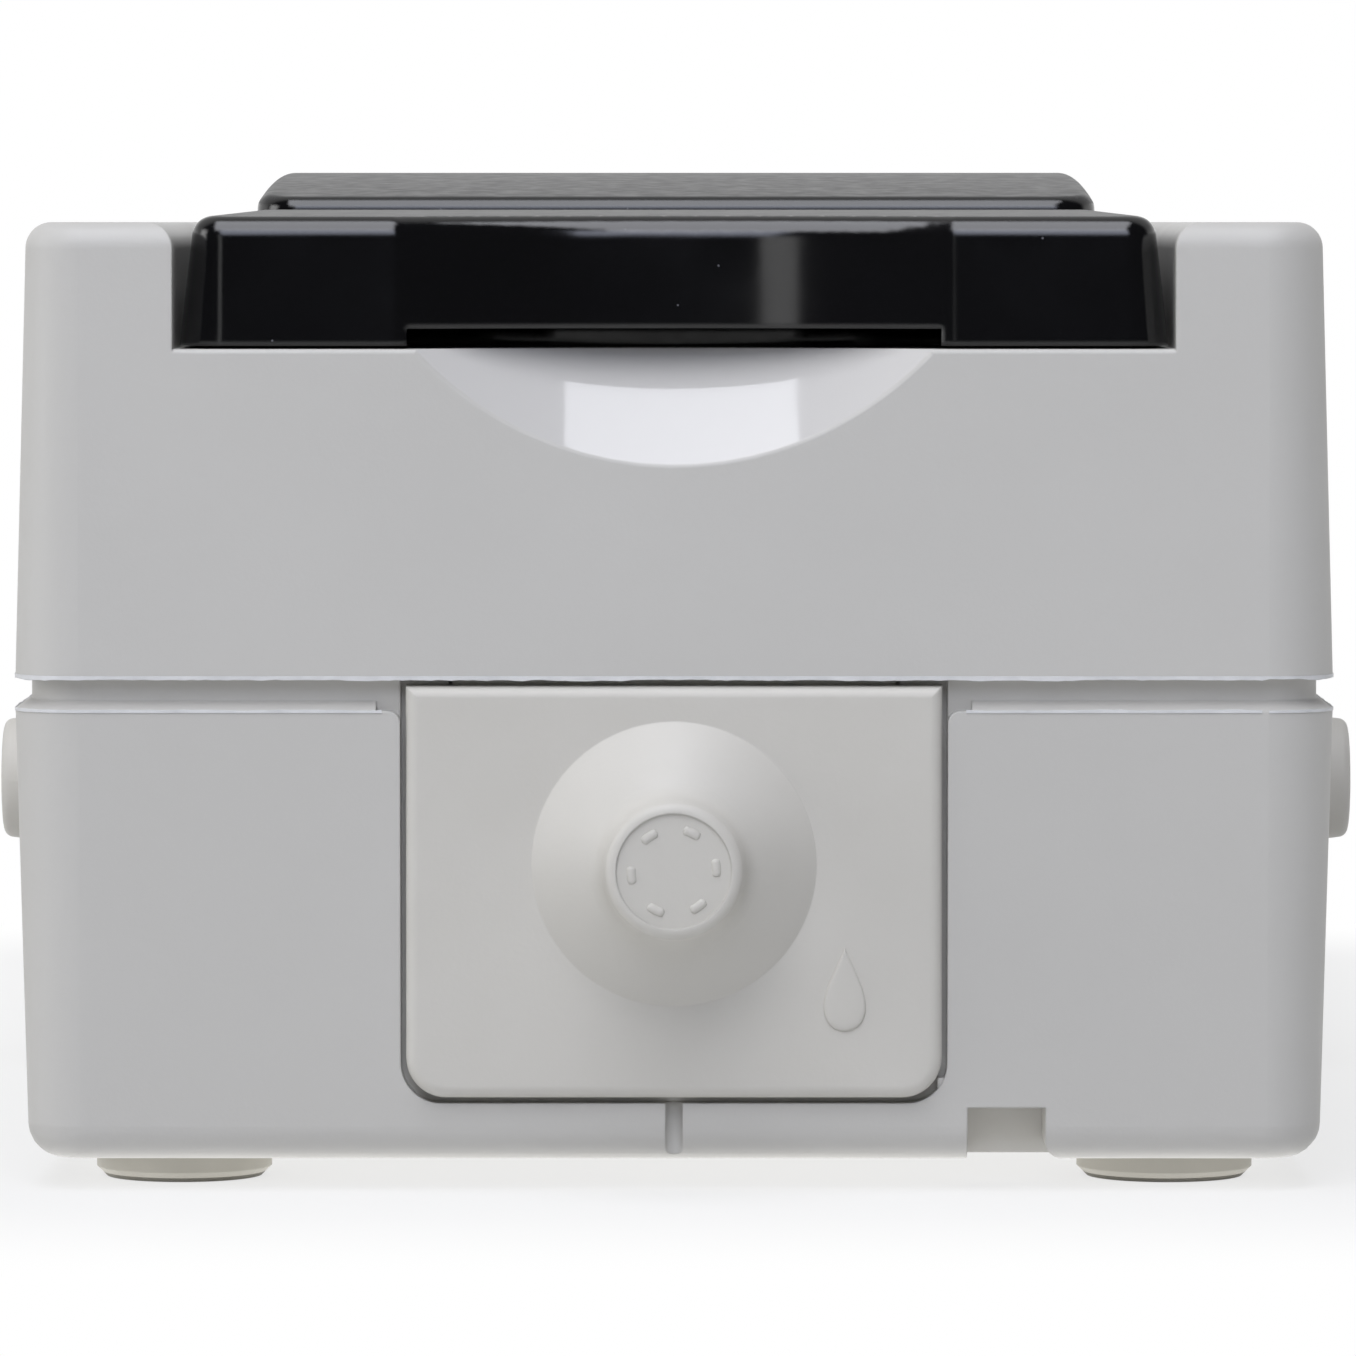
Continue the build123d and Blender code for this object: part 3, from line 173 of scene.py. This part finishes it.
def metalMaterial(look):  # drawn, rolled or plated metal: fine lines one way and a little staining
    material, tree, shader, place = startMaterial(look["name"])
    stains = addNode(
        tree, "ShaderNodeTexNoise",
        {"Scale": perMm(look["stain"]), "Detail": noise["smearDetail"]},
        {"Vector": place},
    )
    tint = addNode(
        tree, "ShaderNodeMix",
        {"data_type": "RGBA", 6: linear(look["dark"]), 7: linear(look["light"])},
        {0: stains.outputs["Fac"]},
    )
    tree.links.new(tint.outputs[2], shader.inputs["Base Color"])
    drawn = addNode(tree, "ShaderNodeMapping", {"Scale": look["stretch"]}, {"Vector": place})
    lines = addNode(
        tree, "ShaderNodeTexNoise",
        {"Scale": perMm(look["line"]), "Detail": noise["lineDetail"]},
        {"Vector": drawn.outputs[0]},
    )
    gloss = addNode(
        tree, "ShaderNodeMapRange",
        {"From Min": noise["usual"][0], "From Max": noise["usual"][1],
         "To Min": look["rough"][0], "To Max": look["rough"][1]},
        {"Value": lines.outputs["Fac"]},
    )
    tree.links.new(gloss.outputs[0], shader.inputs["Roughness"])
    height = lines.outputs["Fac"]
    if "thread" in look:  # turns of the thread, seen as rings along the shank
        rings = addNode(
            tree, "ShaderNodeTexWave",
            {"bands_direction": "Z", "Scale": perMm(look["thread"]) / waveBands},
            {"Vector": place},
        )
        height = addNode(
            tree, "ShaderNodeMath", {"operation": "MULTIPLY_ADD", 1: look["lineShare"]},
            {0: height, 2: rings.outputs["Fac"]},
        ).outputs[0]
    relief = addNode(
        tree, "ShaderNodeBump", {"Strength": 1.0, "Distance": look["depth"] * mm}, {"Height": height}
    )
    tree.links.new(relief.outputs[0], shader.inputs["Normal"])
    shader.inputs["Metallic"].default_value = 1.0
    return material


# Sizes of a look are in millimetres: clouds, smears, grain, depth of the grain, rounding of the edges
# ASA moulded in a spark-eroded mould: an even, light grey satin with a faint pebble that breaks up its shine
asaMoulded = mouldedMaterial({
    "name": "asaMouldedSatin", "light": "#c6c4bf", "dark": "#c0beb9", "cloud": 16.0,
    "rough": (0.42, 0.52), "smear": 7.0, "grain": 0.22, "depth": 0.006, "edge": 0.16, "ior": 1.5,
})
# The same ASA against a polished part of the mould: it mirrors the lamp in a soft-edged patch; its colour is
# painted a little lighter than the satin ASA's, a painted reflection of the bright room
asaPolishedPaintedReflection = mouldedMaterial({
    "name": "asaMouldedPolished", "light": "#cccac7", "dark": "#c8c6c3", "cloud": 16.0,
    "rough": (0.05, 0.09), "smear": 5.0, "grain": 2.4, "depth": 0.004, "edge": 0.1, "ior": 1.52,
})
# ASA torn at the parting line: a thin whisker of flash, its near-white colour a painted highlight along the
# edge
asaFlashPaintedHighlight = mouldedMaterial({
    "name": "asaTornFlash", "light": "#e6e6e6", "dark": "#c4c4c4", "cloud": 1.2,
    "rough": (0.3, 0.5), "smear": 0.9, "grain": 0.12, "depth": 0.01, "edge": 0.03, "ior": 1.5,
})
# Polycarbonate dyed through, moulded against polished steel: deep black, with the lamp's edges and some dust
pcPolished = mouldedMaterial({
    "name": "polycarbonateMouldedGloss", "light": "#0e0e10", "dark": "#0a0a0b", "cloud": 9.0,
    "rough": (0.07, 0.12), "smear": 4.0, "grain": 3.0, "depth": 0.003, "edge": 0.42, "ior": 1.58,
    "speck": 0.06, "speckSpacing": 1.6, "speckColour": "#5c5c60",
})
# The same polycarbonate against an eroded mould face: a fine dark pebble that turns grey at a low angle
pcTextured = mouldedMaterial({
    "name": "polycarbonateMouldedPebble", "light": "#131316", "dark": "#101013", "cloud": 2.6,
    "rough": (0.33, 0.43), "smear": 1.1, "grain": 0.32, "depth": 0.015, "edge": 0.2, "ior": 1.58,
})
# Thermoplastic elastomer, moulded: warm off-white, soft satin, slightly cloudy
tpeEntry = mouldedMaterial({
    "name": "elastomerMouldedEntry", "light": "#cdcac3", "dark": "#c6c3bb", "cloud": 6.0,
    "rough": (0.46, 0.58), "smear": 4.0, "grain": 0.3, "depth": 0.008, "edge": 0.12,
    "ior": 1.49, "sheen": 0.04,
})
# The pads' elastomer, dull, its colour painted darker than the entries' elastomer as painted shade for their
# place under the base
tpePadPaintedShade = mouldedMaterial({
    "name": "elastomerMouldedPad", "light": "#b6b3aa", "dark": "#a9a69d", "cloud": 3.0,
    "rough": (0.55, 0.7), "smear": 2.0, "grain": 0.3, "depth": 0.012, "edge": 0.12,
    "ior": 1.49, "sheen": 0.05,
})
# Nitrile rubber, moulded: dull black with a bloom
nbrSeal = mouldedMaterial({
    "name": "nitrileMouldedSeal", "light": "#2a2a2b", "dark": "#1d1d1e", "cloud": 2.5,
    "rough": (0.6, 0.75), "smear": 1.6, "grain": 0.2, "depth": 0.008, "edge": 0.1,
    "ior": 1.52, "sheen": 0.05,
})
# Urea resin, pressed: ivory, hard and slightly mottled
ureaPressed = mouldedMaterial({
    "name": "ureaPressedIvory", "light": "#e6dfc9", "dark": "#dbd3ba", "cloud": 3.5,
    "rough": (0.28, 0.4), "smear": 3.0, "grain": 0.25, "depth": 0.006, "edge": 0.15, "ior": 1.55,
})
# Brass bar, drawn and sawn: yellow with lines along the bar and a brown stain
brassDrawn = metalMaterial({
    "name": "brassDrawnBar", "light": "#d3b36a", "dark": "#b9954f", "stain": 3.0,
    "stretch": (1.0, 0.05, 1.0), "line": 0.12, "rough": (0.24, 0.38), "depth": 0.004,
})
# Phosphor bronze, rolled strip: reddish and smooth
bronzeRolled = metalMaterial({
    "name": "bronzeRolledStrip", "light": "#d4a478", "dark": "#bd8a5f", "stain": 4.0,
    "stretch": (1.0, 0.04, 1.0), "line": 0.1, "rough": (0.2, 0.32), "depth": 0.002,
})
# Nickel plate on rolled brass: bright and slightly warm
nickelPlated = metalMaterial({
    "name": "nickelPlatedStrip", "light": "#d9d6cf", "dark": "#c7c3ba", "stain": 4.0,
    "stretch": (0.05, 1.0, 1.0), "line": 0.1, "rough": (0.12, 0.24), "depth": 0.002,
})
# Zinc plate on turned steel: bluish grey, with the rings of the thread
zincPlated = metalMaterial({
    "name": "zincPlatedSteel", "light": "#c9cdd0", "dark": "#aeb2b6", "stain": 1.5,
    "stretch": (1.0, 1.0, 0.2), "line": 0.15, "rough": (0.22, 0.36), "depth": 0.12,
    "thread": 0.8, "lineShare": 0.2,
})
# Spring steel, drawn wire: grey with draw lines
springWire = metalMaterial({
    "name": "springSteelDrawnWire", "light": "#b4b4b2", "dark": "#8f8f8d", "stain": 1.2,
    "stretch": (0.2, 1.0, 1.0), "line": 0.08, "rough": (0.2, 0.34), "depth": 0.002,
})
print("materials made")

# soft_pad takes the pads' elastomer, painted darker as painted shade
slotFinish = {
    "grey_housing": asaMoulded, "dark_plastic": pcPolished, "soft_entry": tpeEntry, "soft_pad": tpePadPaintedShade,
    "soft_seal": nbrSeal, "ivory_insulator": ureaPressed, "brass_block": brassDrawn,
    "bronze_strip": bronzeRolled, "bright_strip": nickelPlated, "plated_steel": zincPlated,
    "spring_steel": springWire,
}
nodeSlot = {part["node"]: part["material_slot"] for part in frame["record"]["subparts"]}
for name, node in nodes.items():
    node.data.materials.clear()
    node.data.materials.append(slotFinish[nodeSlot[name]])


def dressFaces(node, material, belongs):  # a second finish on the faces that belong to it
    node.data.materials.append(material)
    for face in node.data.polygons:
        if belongs(face.center / mm, face.normal):
            face.material_index = len(node.data.materials) - 1


# Polished scoop under the lid's front edge, in the ASA painted lighter as a painted reflection: the faces along
# its slope, within its reach in mm
scoop = {"slope": 47.0, "offSlope": 0.03, "up": 0.2, "halfWidth": 13.8, "top": 42.2, "back": -63.0}
slope = math.radians(scoop["slope"])
ruling = Vector((0, math.cos(slope), math.sin(slope)))
dressFaces(
    nodes["cover"], asaPolishedPaintedReflection,
    lambda centre, normal: abs(normal.dot(ruling)) < scoop["offSlope"] and normal.z > scoop["up"]
    and abs(centre.x) < scoop["halfWidth"] and centre.y < scoop["back"] and centre.z < scoop["top"],
)
# Pebbled tops of the lid and the key: how level a face is where the mould was eroded
pebble = {"flat": 0.985, "sideZ": 0.3, "sideY": 0.5, "depth": 3.0}
for name in ("socket_lid", "rocker"):
    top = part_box(name)[1].z / mm
    onSides = name == "rocker"  # the key's long edges are rolled over with the same pebble
    dressFaces(
        nodes[name], pcTextured,
        lambda centre, normal: centre.z > top - pebble["depth"] and (
            normal.z > pebble["flat"]
            or onSides and normal.z > pebble["sideZ"] and abs(normal.y) < pebble["sideY"]
        ),
    )
print("nodes dressed")


def pieceFromMesh(build, name, material, body):  # turns a bmesh into a piece that rides on a body
    bmesh.ops.recalc_face_normals(build, faces=build.faces)
    mesh = bpy.data.meshes.new(name)
    build.to_mesh(mesh)
    build.free()
    mesh.materials.append(material)
    piece = bpy.data.objects.new(name, mesh)
    scene.collection.objects.link(piece)
    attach(piece, body)
    return piece


def joinRings(build, rings):  # faces from each ring of points to the next
    for ringA, ringB in zip(rings, rings[1:]):
        for i in range(len(ringA)):
            k = (i + 1) % len(ringA)
            build.faces.new((ringA[i], ringA[k], ringB[k], ringB[i]))


def roundedLoop(half, corner, step):  # points and outward directions along a rounded rectangle
    runs = []
    for sx, sy, start in ((1, -1, -90), (1, 1, 0), (-1, 1, 90), (-1, -1, 180)):
        centre = Vector((sx * (half[0] - corner), sy * (half[1] - corner), 0))
        turns = max(4, round(corner * math.pi / 2 / step))
        for i in range(turns + 1):
            a = math.radians(start + 90 * i / turns)
            out = Vector((math.cos(a), math.sin(a), 0))
            runs.append((centre + out * corner, out))
    loop = []
    for (a, outA), (b, outB) in zip(runs, runs[1:] + runs[:1]):
        count = max(1, round((b - a).length / step))
        loop += [(a.lerp(b, i / count), outA.lerp(outB, i / count).normalized()) for i in range(count)]
    return loop


# Closing spring round the hinge pin: a copy of the spring node's mesh that stays where it is, though in the
# object one leg stays in the trough and the other turns with the lid
spring = bpy.data.objects.new("closing_spring", nodes["lid_spring"].data.copy())
scene.collection.objects.link(spring)
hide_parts("lid_spring")
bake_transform(spring)
print("closing spring made")

# Flash at the parting line: a whisker below the cover's edge and one on the rim of the base, both painted
# near-white as a painted highlight
flash = {
    "half": (33.0, 69.9), "corner": 3.4, "step": 0.35, "thick": 0.1, "stand": 0.03,
    "cover": {"edge": 25.7, "side": -1, "least": 0.03, "most": 0.2, "seed": 4},
    "base": {"edge": 24.05, "side": 1, "least": 0.02, "most": 0.12, "seed": 9},
    "kept": 0.6, "fresh": 0.4,  # shares of the last height and of a new one
    "gap": 14.4, "straight": 0.99,  # half the width of a cable entry, how straight out a side faces
}
for name in ("cover", "base"):
    line = flash[name]
    dice = random.Random(line["seed"])
    build = bmesh.new()
    runs = [[]]
    height = line["least"]
    for point, out in roundedLoop(flash["half"], flash["corner"], flash["step"]):
        along = point.y if abs(out.x) > flash["straight"] else point.x
        isSide = max(abs(out.x), abs(out.y)) > flash["straight"]
        if name == "base" and isSide and abs(along) < flash["gap"]:  # open for a cable entry
            if runs[-1]:
                runs.append([])
            continue
        height = flash["kept"] * height + flash["fresh"] * dice.uniform(line["least"], line["most"])
        root = point + Vector((0, 0, line["edge"]))
        tip = root + out * flash["stand"] + Vector((0, 0, line["side"] * height))
        foot = root + out * flash["stand"] - Vector((0, 0, line["side"] * flash["thick"]))
        back = root - out * flash["thick"]
        runs[-1].append([build.verts.new(p * mm) for p in (foot, tip, back)])
    if name == "cover":
        runs[0].append(runs[0][0])
    for run in runs:
        joinRings(build, run)
        if name == "base" and len(run) > 1:
            build.faces.new(run[0])
            build.faces.new(run[-1][::-1])
    pieceFromMesh(build, name + "_flash", asaFlashPaintedHighlight, "housing")
print("flash lines made")

# Marks moulded on each cable entry: short dashes round the nose's tip and a plain drop on the plate
entryMarks = {
    "axisZ": 16.45, "reach": 90.0, "sunk": 0.05, "merge": 1e-4,
    "dash": {
        "radius": 2.1, "angles": (5, 65, 125, 185, 245, 305), "length": 1.0, "width": 0.5, "rise": 0.1,
        "steps": 8, "blunt": 6,  # rings along it, how blunt its ends are
        "section": ((-1.0, 0.0), (-0.8, 0.7), (0.0, 1.0), (0.8, 0.7), (1.0, 0.0)),  # domed bead
    },
    "drop": {
        "right": 8.5, "z": 10.2, "height": 4.2, "width": 2.1, "rise": 0.16, "points": 40,
        "taper": 1.5, "widest": 0.7,  # how fast it narrows to its point, its outline's largest reach
        "steps": ((1.0, 0.35), (0.94, 0.8), (0.82, 1.0), (0.4, 1.0)),  # size and share of the rise
    },
    "entries": {
        "lower": Vector((0, -1, 0)), "upper": Vector((0, 1, 0)),
        "left": Vector((-1, 0, 0)), "right": Vector((1, 0, 0)),
    },
}


def onSkin(skin, out, across, z, lift):  # a point over an entry's surface, seen from outside
    right = (-out).cross(Vector((0, 0, 1)))
    start = right * across + Vector((0, 0, z)) + out * entryMarks["reach"]
    return skin.ray_cast(start * mm, -out)[0] + out * lift * mm


dash = entryMarks["dash"]
drop = entryMarks["drop"]
sunk = entryMarks["sunk"]
for side, out in entryMarks["entries"].items():
    mesh = nodes[side + "_membrane"].data
    skin = BVHTree.FromPolygons([v.co for v in mesh.vertices], [f.vertices for f in mesh.polygons])
    build = bmesh.new()
    for angle in dash["angles"]:
        rings = []
        for i in range(dash["steps"] + 1):
            along = 2 * i / dash["steps"] - 1
            swell = math.sqrt(max(0.0, 1 - along ** dash["blunt"]))
            a = math.radians(angle) + along * dash["length"] / 2 / dash["radius"]
            ring = []
            for offset, lift in dash["section"]:
                r = dash["radius"] + offset * swell * dash["width"] / 2
                rise = (dash["rise"] + sunk) * lift * swell - sunk
                spot = onSkin(skin, out, r * math.cos(a), entryMarks["axisZ"] + r * math.sin(a), rise)
                ring.append(build.verts.new(spot))
            rings.append(ring)
        joinRings(build, rings)
    rings = []
    for size, lift in [(1.0, -sunk)] + [(size, share * drop["rise"]) for size, share in drop["steps"]]:
        ring = []
        for i in range(drop["points"]):
            u = 2 * math.pi * (i + 0.5) / drop["points"]
            outline = math.sin(u) * math.sin(u / 2) ** drop["taper"] / drop["widest"]
            across = drop["right"] + size * drop["width"] / 2 * outline
            z = drop["z"] + size * drop["height"] / 2 * math.cos(u)
            ring.append(build.verts.new(onSkin(skin, out, across, z, lift)))
        rings.append(ring)
    joinRings(build, rings)
    build.faces.new(rings[-1])
    build.faces.new(rings[0][::-1])
    bmesh.ops.remove_doubles(build, verts=build.verts, dist=entryMarks["merge"] * mm)  # points at a dash's ends
    marks = pieceFromMesh(build, side + "_entry_marks", tpeEntry, "housing")
    marks.data.polygons.foreach_set("use_smooth", [True] * len(marks.data.polygons))
print("entry marks made")

# Studio floor: pale matt paper that fades to plain white away from the object's shadow
floor = {
    "half": 2.5, "cells": 8, "level": -0.02, "colour": "#dadad9", "shade": "#d5d5d4",
    "cloud": 60.0, "rough": 0.9, "specular": 0.1,
    "under": (32.0, 69.0, 1000.0),  # half of the floor under the object, mm
    "shadow": 36.0, "softest": 0.7,  # mm beyond it where the shadow ends, share of white at its foot
}
build = bmesh.new()
bmesh.ops.create_grid(build, x_segments=floor["cells"], y_segments=floor["cells"], size=floor["half"])
mesh = bpy.data.meshes.new("studioFloor")
build.to_mesh(mesh)
build.free()
floorObject = bpy.data.objects.new("studioFloor", mesh)
floorObject.location.z = floor["level"] * mm
scene.collection.objects.link(floorObject)
paper, paperTree, paperShader, paperPlace = startMaterial("paperMatt")
paperClouds = addNode(
    paperTree, "ShaderNodeTexNoise", {"Scale": perMm(floor["cloud"])}, {"Vector": paperPlace}
)
paperTint = addNode(
    paperTree, "ShaderNodeMix",
    {"data_type": "RGBA", 6: linear(floor["shade"]), 7: linear(floor["colour"])},
    {0: paperClouds.outputs["Fac"]},
)
paperTree.links.new(paperTint.outputs[2], paperShader.inputs["Base Color"])
paperShader.inputs["Roughness"].default_value = floor["rough"]
paperShader.inputs["Specular IOR Level"].default_value = floor["specular"]
paperRays = addNode(paperTree, "ShaderNodeLightPath")
mirrorRays = addNode(
    paperTree, "ShaderNodeMath", {"operation": "MAXIMUM"},
    {0: paperRays.outputs["Is Glossy Ray"], 1: paperRays.outputs["Is Transmission Ray"]},
)
seenRays = addNode(
    paperTree, "ShaderNodeMath", {"operation": "MAXIMUM"},
    {0: paperRays.outputs["Is Camera Ray"], 1: mirrorRays.outputs[0]},
)
folded = addNode(paperTree, "ShaderNodeVectorMath", {"operation": "ABSOLUTE"}, {0: paperPlace})
past = addNode(
    paperTree, "ShaderNodeVectorMath",
    {"operation": "SUBTRACT", 1: Vector(floor["under"]) * mm},
    {0: folded.outputs[0]},
)
beyond = addNode(
    paperTree, "ShaderNodeVectorMath", {"operation": "MAXIMUM", 1: (0, 0, 0)}, {0: past.outputs[0]}
)
distance = addNode(paperTree, "ShaderNodeVectorMath", {"operation": "LENGTH"}, {0: beyond.outputs[0]})
outside = addNode(
    paperTree, "ShaderNodeMapRange",
    {"interpolation_type": "SMOOTHSTEP", "From Min": 0.0, "From Max": floor["shadow"] * mm,
     "To Min": floor["softest"]},
    {"Value": distance.outputs["Value"]},
)
whiteShare = addNode(
    paperTree, "ShaderNodeMath", {"operation": "MULTIPLY"},
    {0: seenRays.outputs[0], 1: outside.outputs[0]},
)
plainWhite = addNode(paperTree, "ShaderNodeEmission", {"Color": linear("#ffffff"), "Strength": 1.0})
paperMix = addNode(
    paperTree, "ShaderNodeMixShader", None,
    {0: whiteShare.outputs[0], 1: paperShader.outputs[0], 2: plainWhite.outputs[0]},
)
paperTree.links.new(paperMix.outputs[0], paperTree.nodes["Material Output"].inputs["Surface"])
paper.cycles.emission_sampling = "NONE"  # its white is only seen, and lights nothing
mesh.materials.append(paper)
print("paper floor laid")

# White paper behind the object, a dim room behind the camera
room = {
    "ambient": 0.05, "dim": 0.03, "paperFrom": -0.05, "paperTo": 0.2, "paperTop": (0.2, 0.5), "above": 0.55,
    "bounce": 0.6,  # share of the paper's white that falls on the object from behind
}
world = bpy.data.worlds.new("studio")
scene.world = world
world.use_nodes = True
worldTree = world.node_tree
background = worldTree.nodes["Background"]
rays = addNode(worldTree, "ShaderNodeLightPath")
heading = addNode(worldTree, "ShaderNodeTexCoord").outputs["Generated"]
headingParts = addNode(worldTree, "ShaderNodeSeparateXYZ", links={0: heading})
behind = addNode(
    worldTree, "ShaderNodeMapRange",
    {"From Min": room["paperFrom"], "From Max": room["paperTo"]},
    {"Value": headingParts.outputs["Y"]},
)
lowDown = addNode(
    worldTree, "ShaderNodeMapRange",
    {"From Min": room["paperTop"][0], "From Max": room["paperTop"][1],
     "To Min": 1.0, "To Max": room["above"]},
    {"Value": headingParts.outputs["Z"]},
)
paperLevel = addNode(
    worldTree, "ShaderNodeMath", {"operation": "MULTIPLY"},
    {0: behind.outputs[0], 1: lowDown.outputs[0]},
)
mirrored = addNode(
    worldTree, "ShaderNodeMath", {"operation": "MAXIMUM", 1: room["dim"]}, {0: paperLevel.outputs[0]}
)
bounced = addNode(
    worldTree, "ShaderNodeMath", {"operation": "MULTIPLY", 1: room["bounce"]}, {0: mirrored.outputs[0]}
)
spread = addNode(
    worldTree, "ShaderNodeMath", {"operation": "MAXIMUM", 1: room["ambient"]}, {0: bounced.outputs[0]}
)
lit = addNode(
    worldTree, "ShaderNodeMix", None,
    {0: rays.outputs["Is Glossy Ray"], 2: spread.outputs[0], 3: mirrored.outputs[0]},
)
seen = addNode(
    worldTree, "ShaderNodeMath", {"operation": "MAXIMUM"},
    {0: rays.outputs["Is Camera Ray"], 1: rays.outputs["Is Transmission Ray"]},
)
level = addNode(worldTree, "ShaderNodeMix", {3: 1.0}, {0: seen.outputs[0], 2: lit.outputs[0]})
background.inputs["Color"].default_value = linear("#ffffff")
worldTree.links.new(level.outputs[0], background.inputs["Strength"])
print("room made")


def facing(at, aim):  # turns a lamp or the camera from its place to what it looks at
    return (Vector(aim) - Vector(at)).to_track_quat("-Z", "Y").to_euler()


lamps = [  # places and sizes in metres
    {"name": "softboxAbove", "at": (-0.09, -0.46, 0.93), "aim": (0, -0.05, 0.03), "size": (0.68, 1.05),
     "watts": 9.8, "colour": "#f6f8ff"},
    {"name": "softboxLeft", "at": (-1.3, -0.3, 0.42), "aim": (0, 0, 0.02), "size": (0.6, 0.7),
     "watts": 4.4, "colour": "#ffffff"},
    {"name": "windowFront", "at": (0.0, -1.37, 0.79), "aim": (0, -0.07, 0.04), "size": (0.75, 0.53),
     "watts": 4.5, "colour": "#e6ecff"},  # the patch in the scoop
    {"name": "stripLeft", "at": (-0.395, -1.5, 0.36), "aim": (0, 0, 0.04), "size": (0.14, 0.3),
     "watts": 0.17, "colour": "#ffffff"},  # the upright streak in the lid
    {"name": "lightTable", "at": (0.0, 0.0, 0.0002), "aim": (0, 0, 1), "size": (0.064, 0.138),
     "watts": 0.021, "colour": "#ffffff"},  # pale light from the table under the object
]
for lamp in lamps:
    data = bpy.data.lights.new(lamp["name"], "AREA")
    data.shape = "RECTANGLE"
    data.size, data.size_y = lamp["size"]
    data.energy = lamp["watts"]
    data.color = linear(lamp["colour"])[:3]
    lampObject = bpy.data.objects.new(lamp["name"], data)
    lampObject.location = lamp["at"]
    lampObject.rotation_euler = facing(lamp["at"], lamp["aim"])
    scene.collection.objects.link(lampObject)
print("studio lit")

# Camera level with the top of the cover, 448 mm in front of the near end
shot = {
    "at": (0.7, -517.9, 48.35), "aim": (0.2, -69.9, 25.71),  # mm
    "lens": 239.5, "sensor": 36.0, "clip": (0.01, 20.0),
}
cameraData = bpy.data.cameras.new("photoCamera")
cameraData.lens = shot["lens"]
cameraData.sensor_width = shot["sensor"]
cameraData.clip_start, cameraData.clip_end = shot["clip"]
camera = bpy.data.objects.new("photoCamera", cameraData)
camera.location = Vector(shot["at"]) * mm
camera.rotation_euler = facing(shot["at"], shot["aim"])
scene.collection.objects.link(camera)
scene.camera = camera
scene.view_settings.view_transform = "Standard"
print("camera placed")
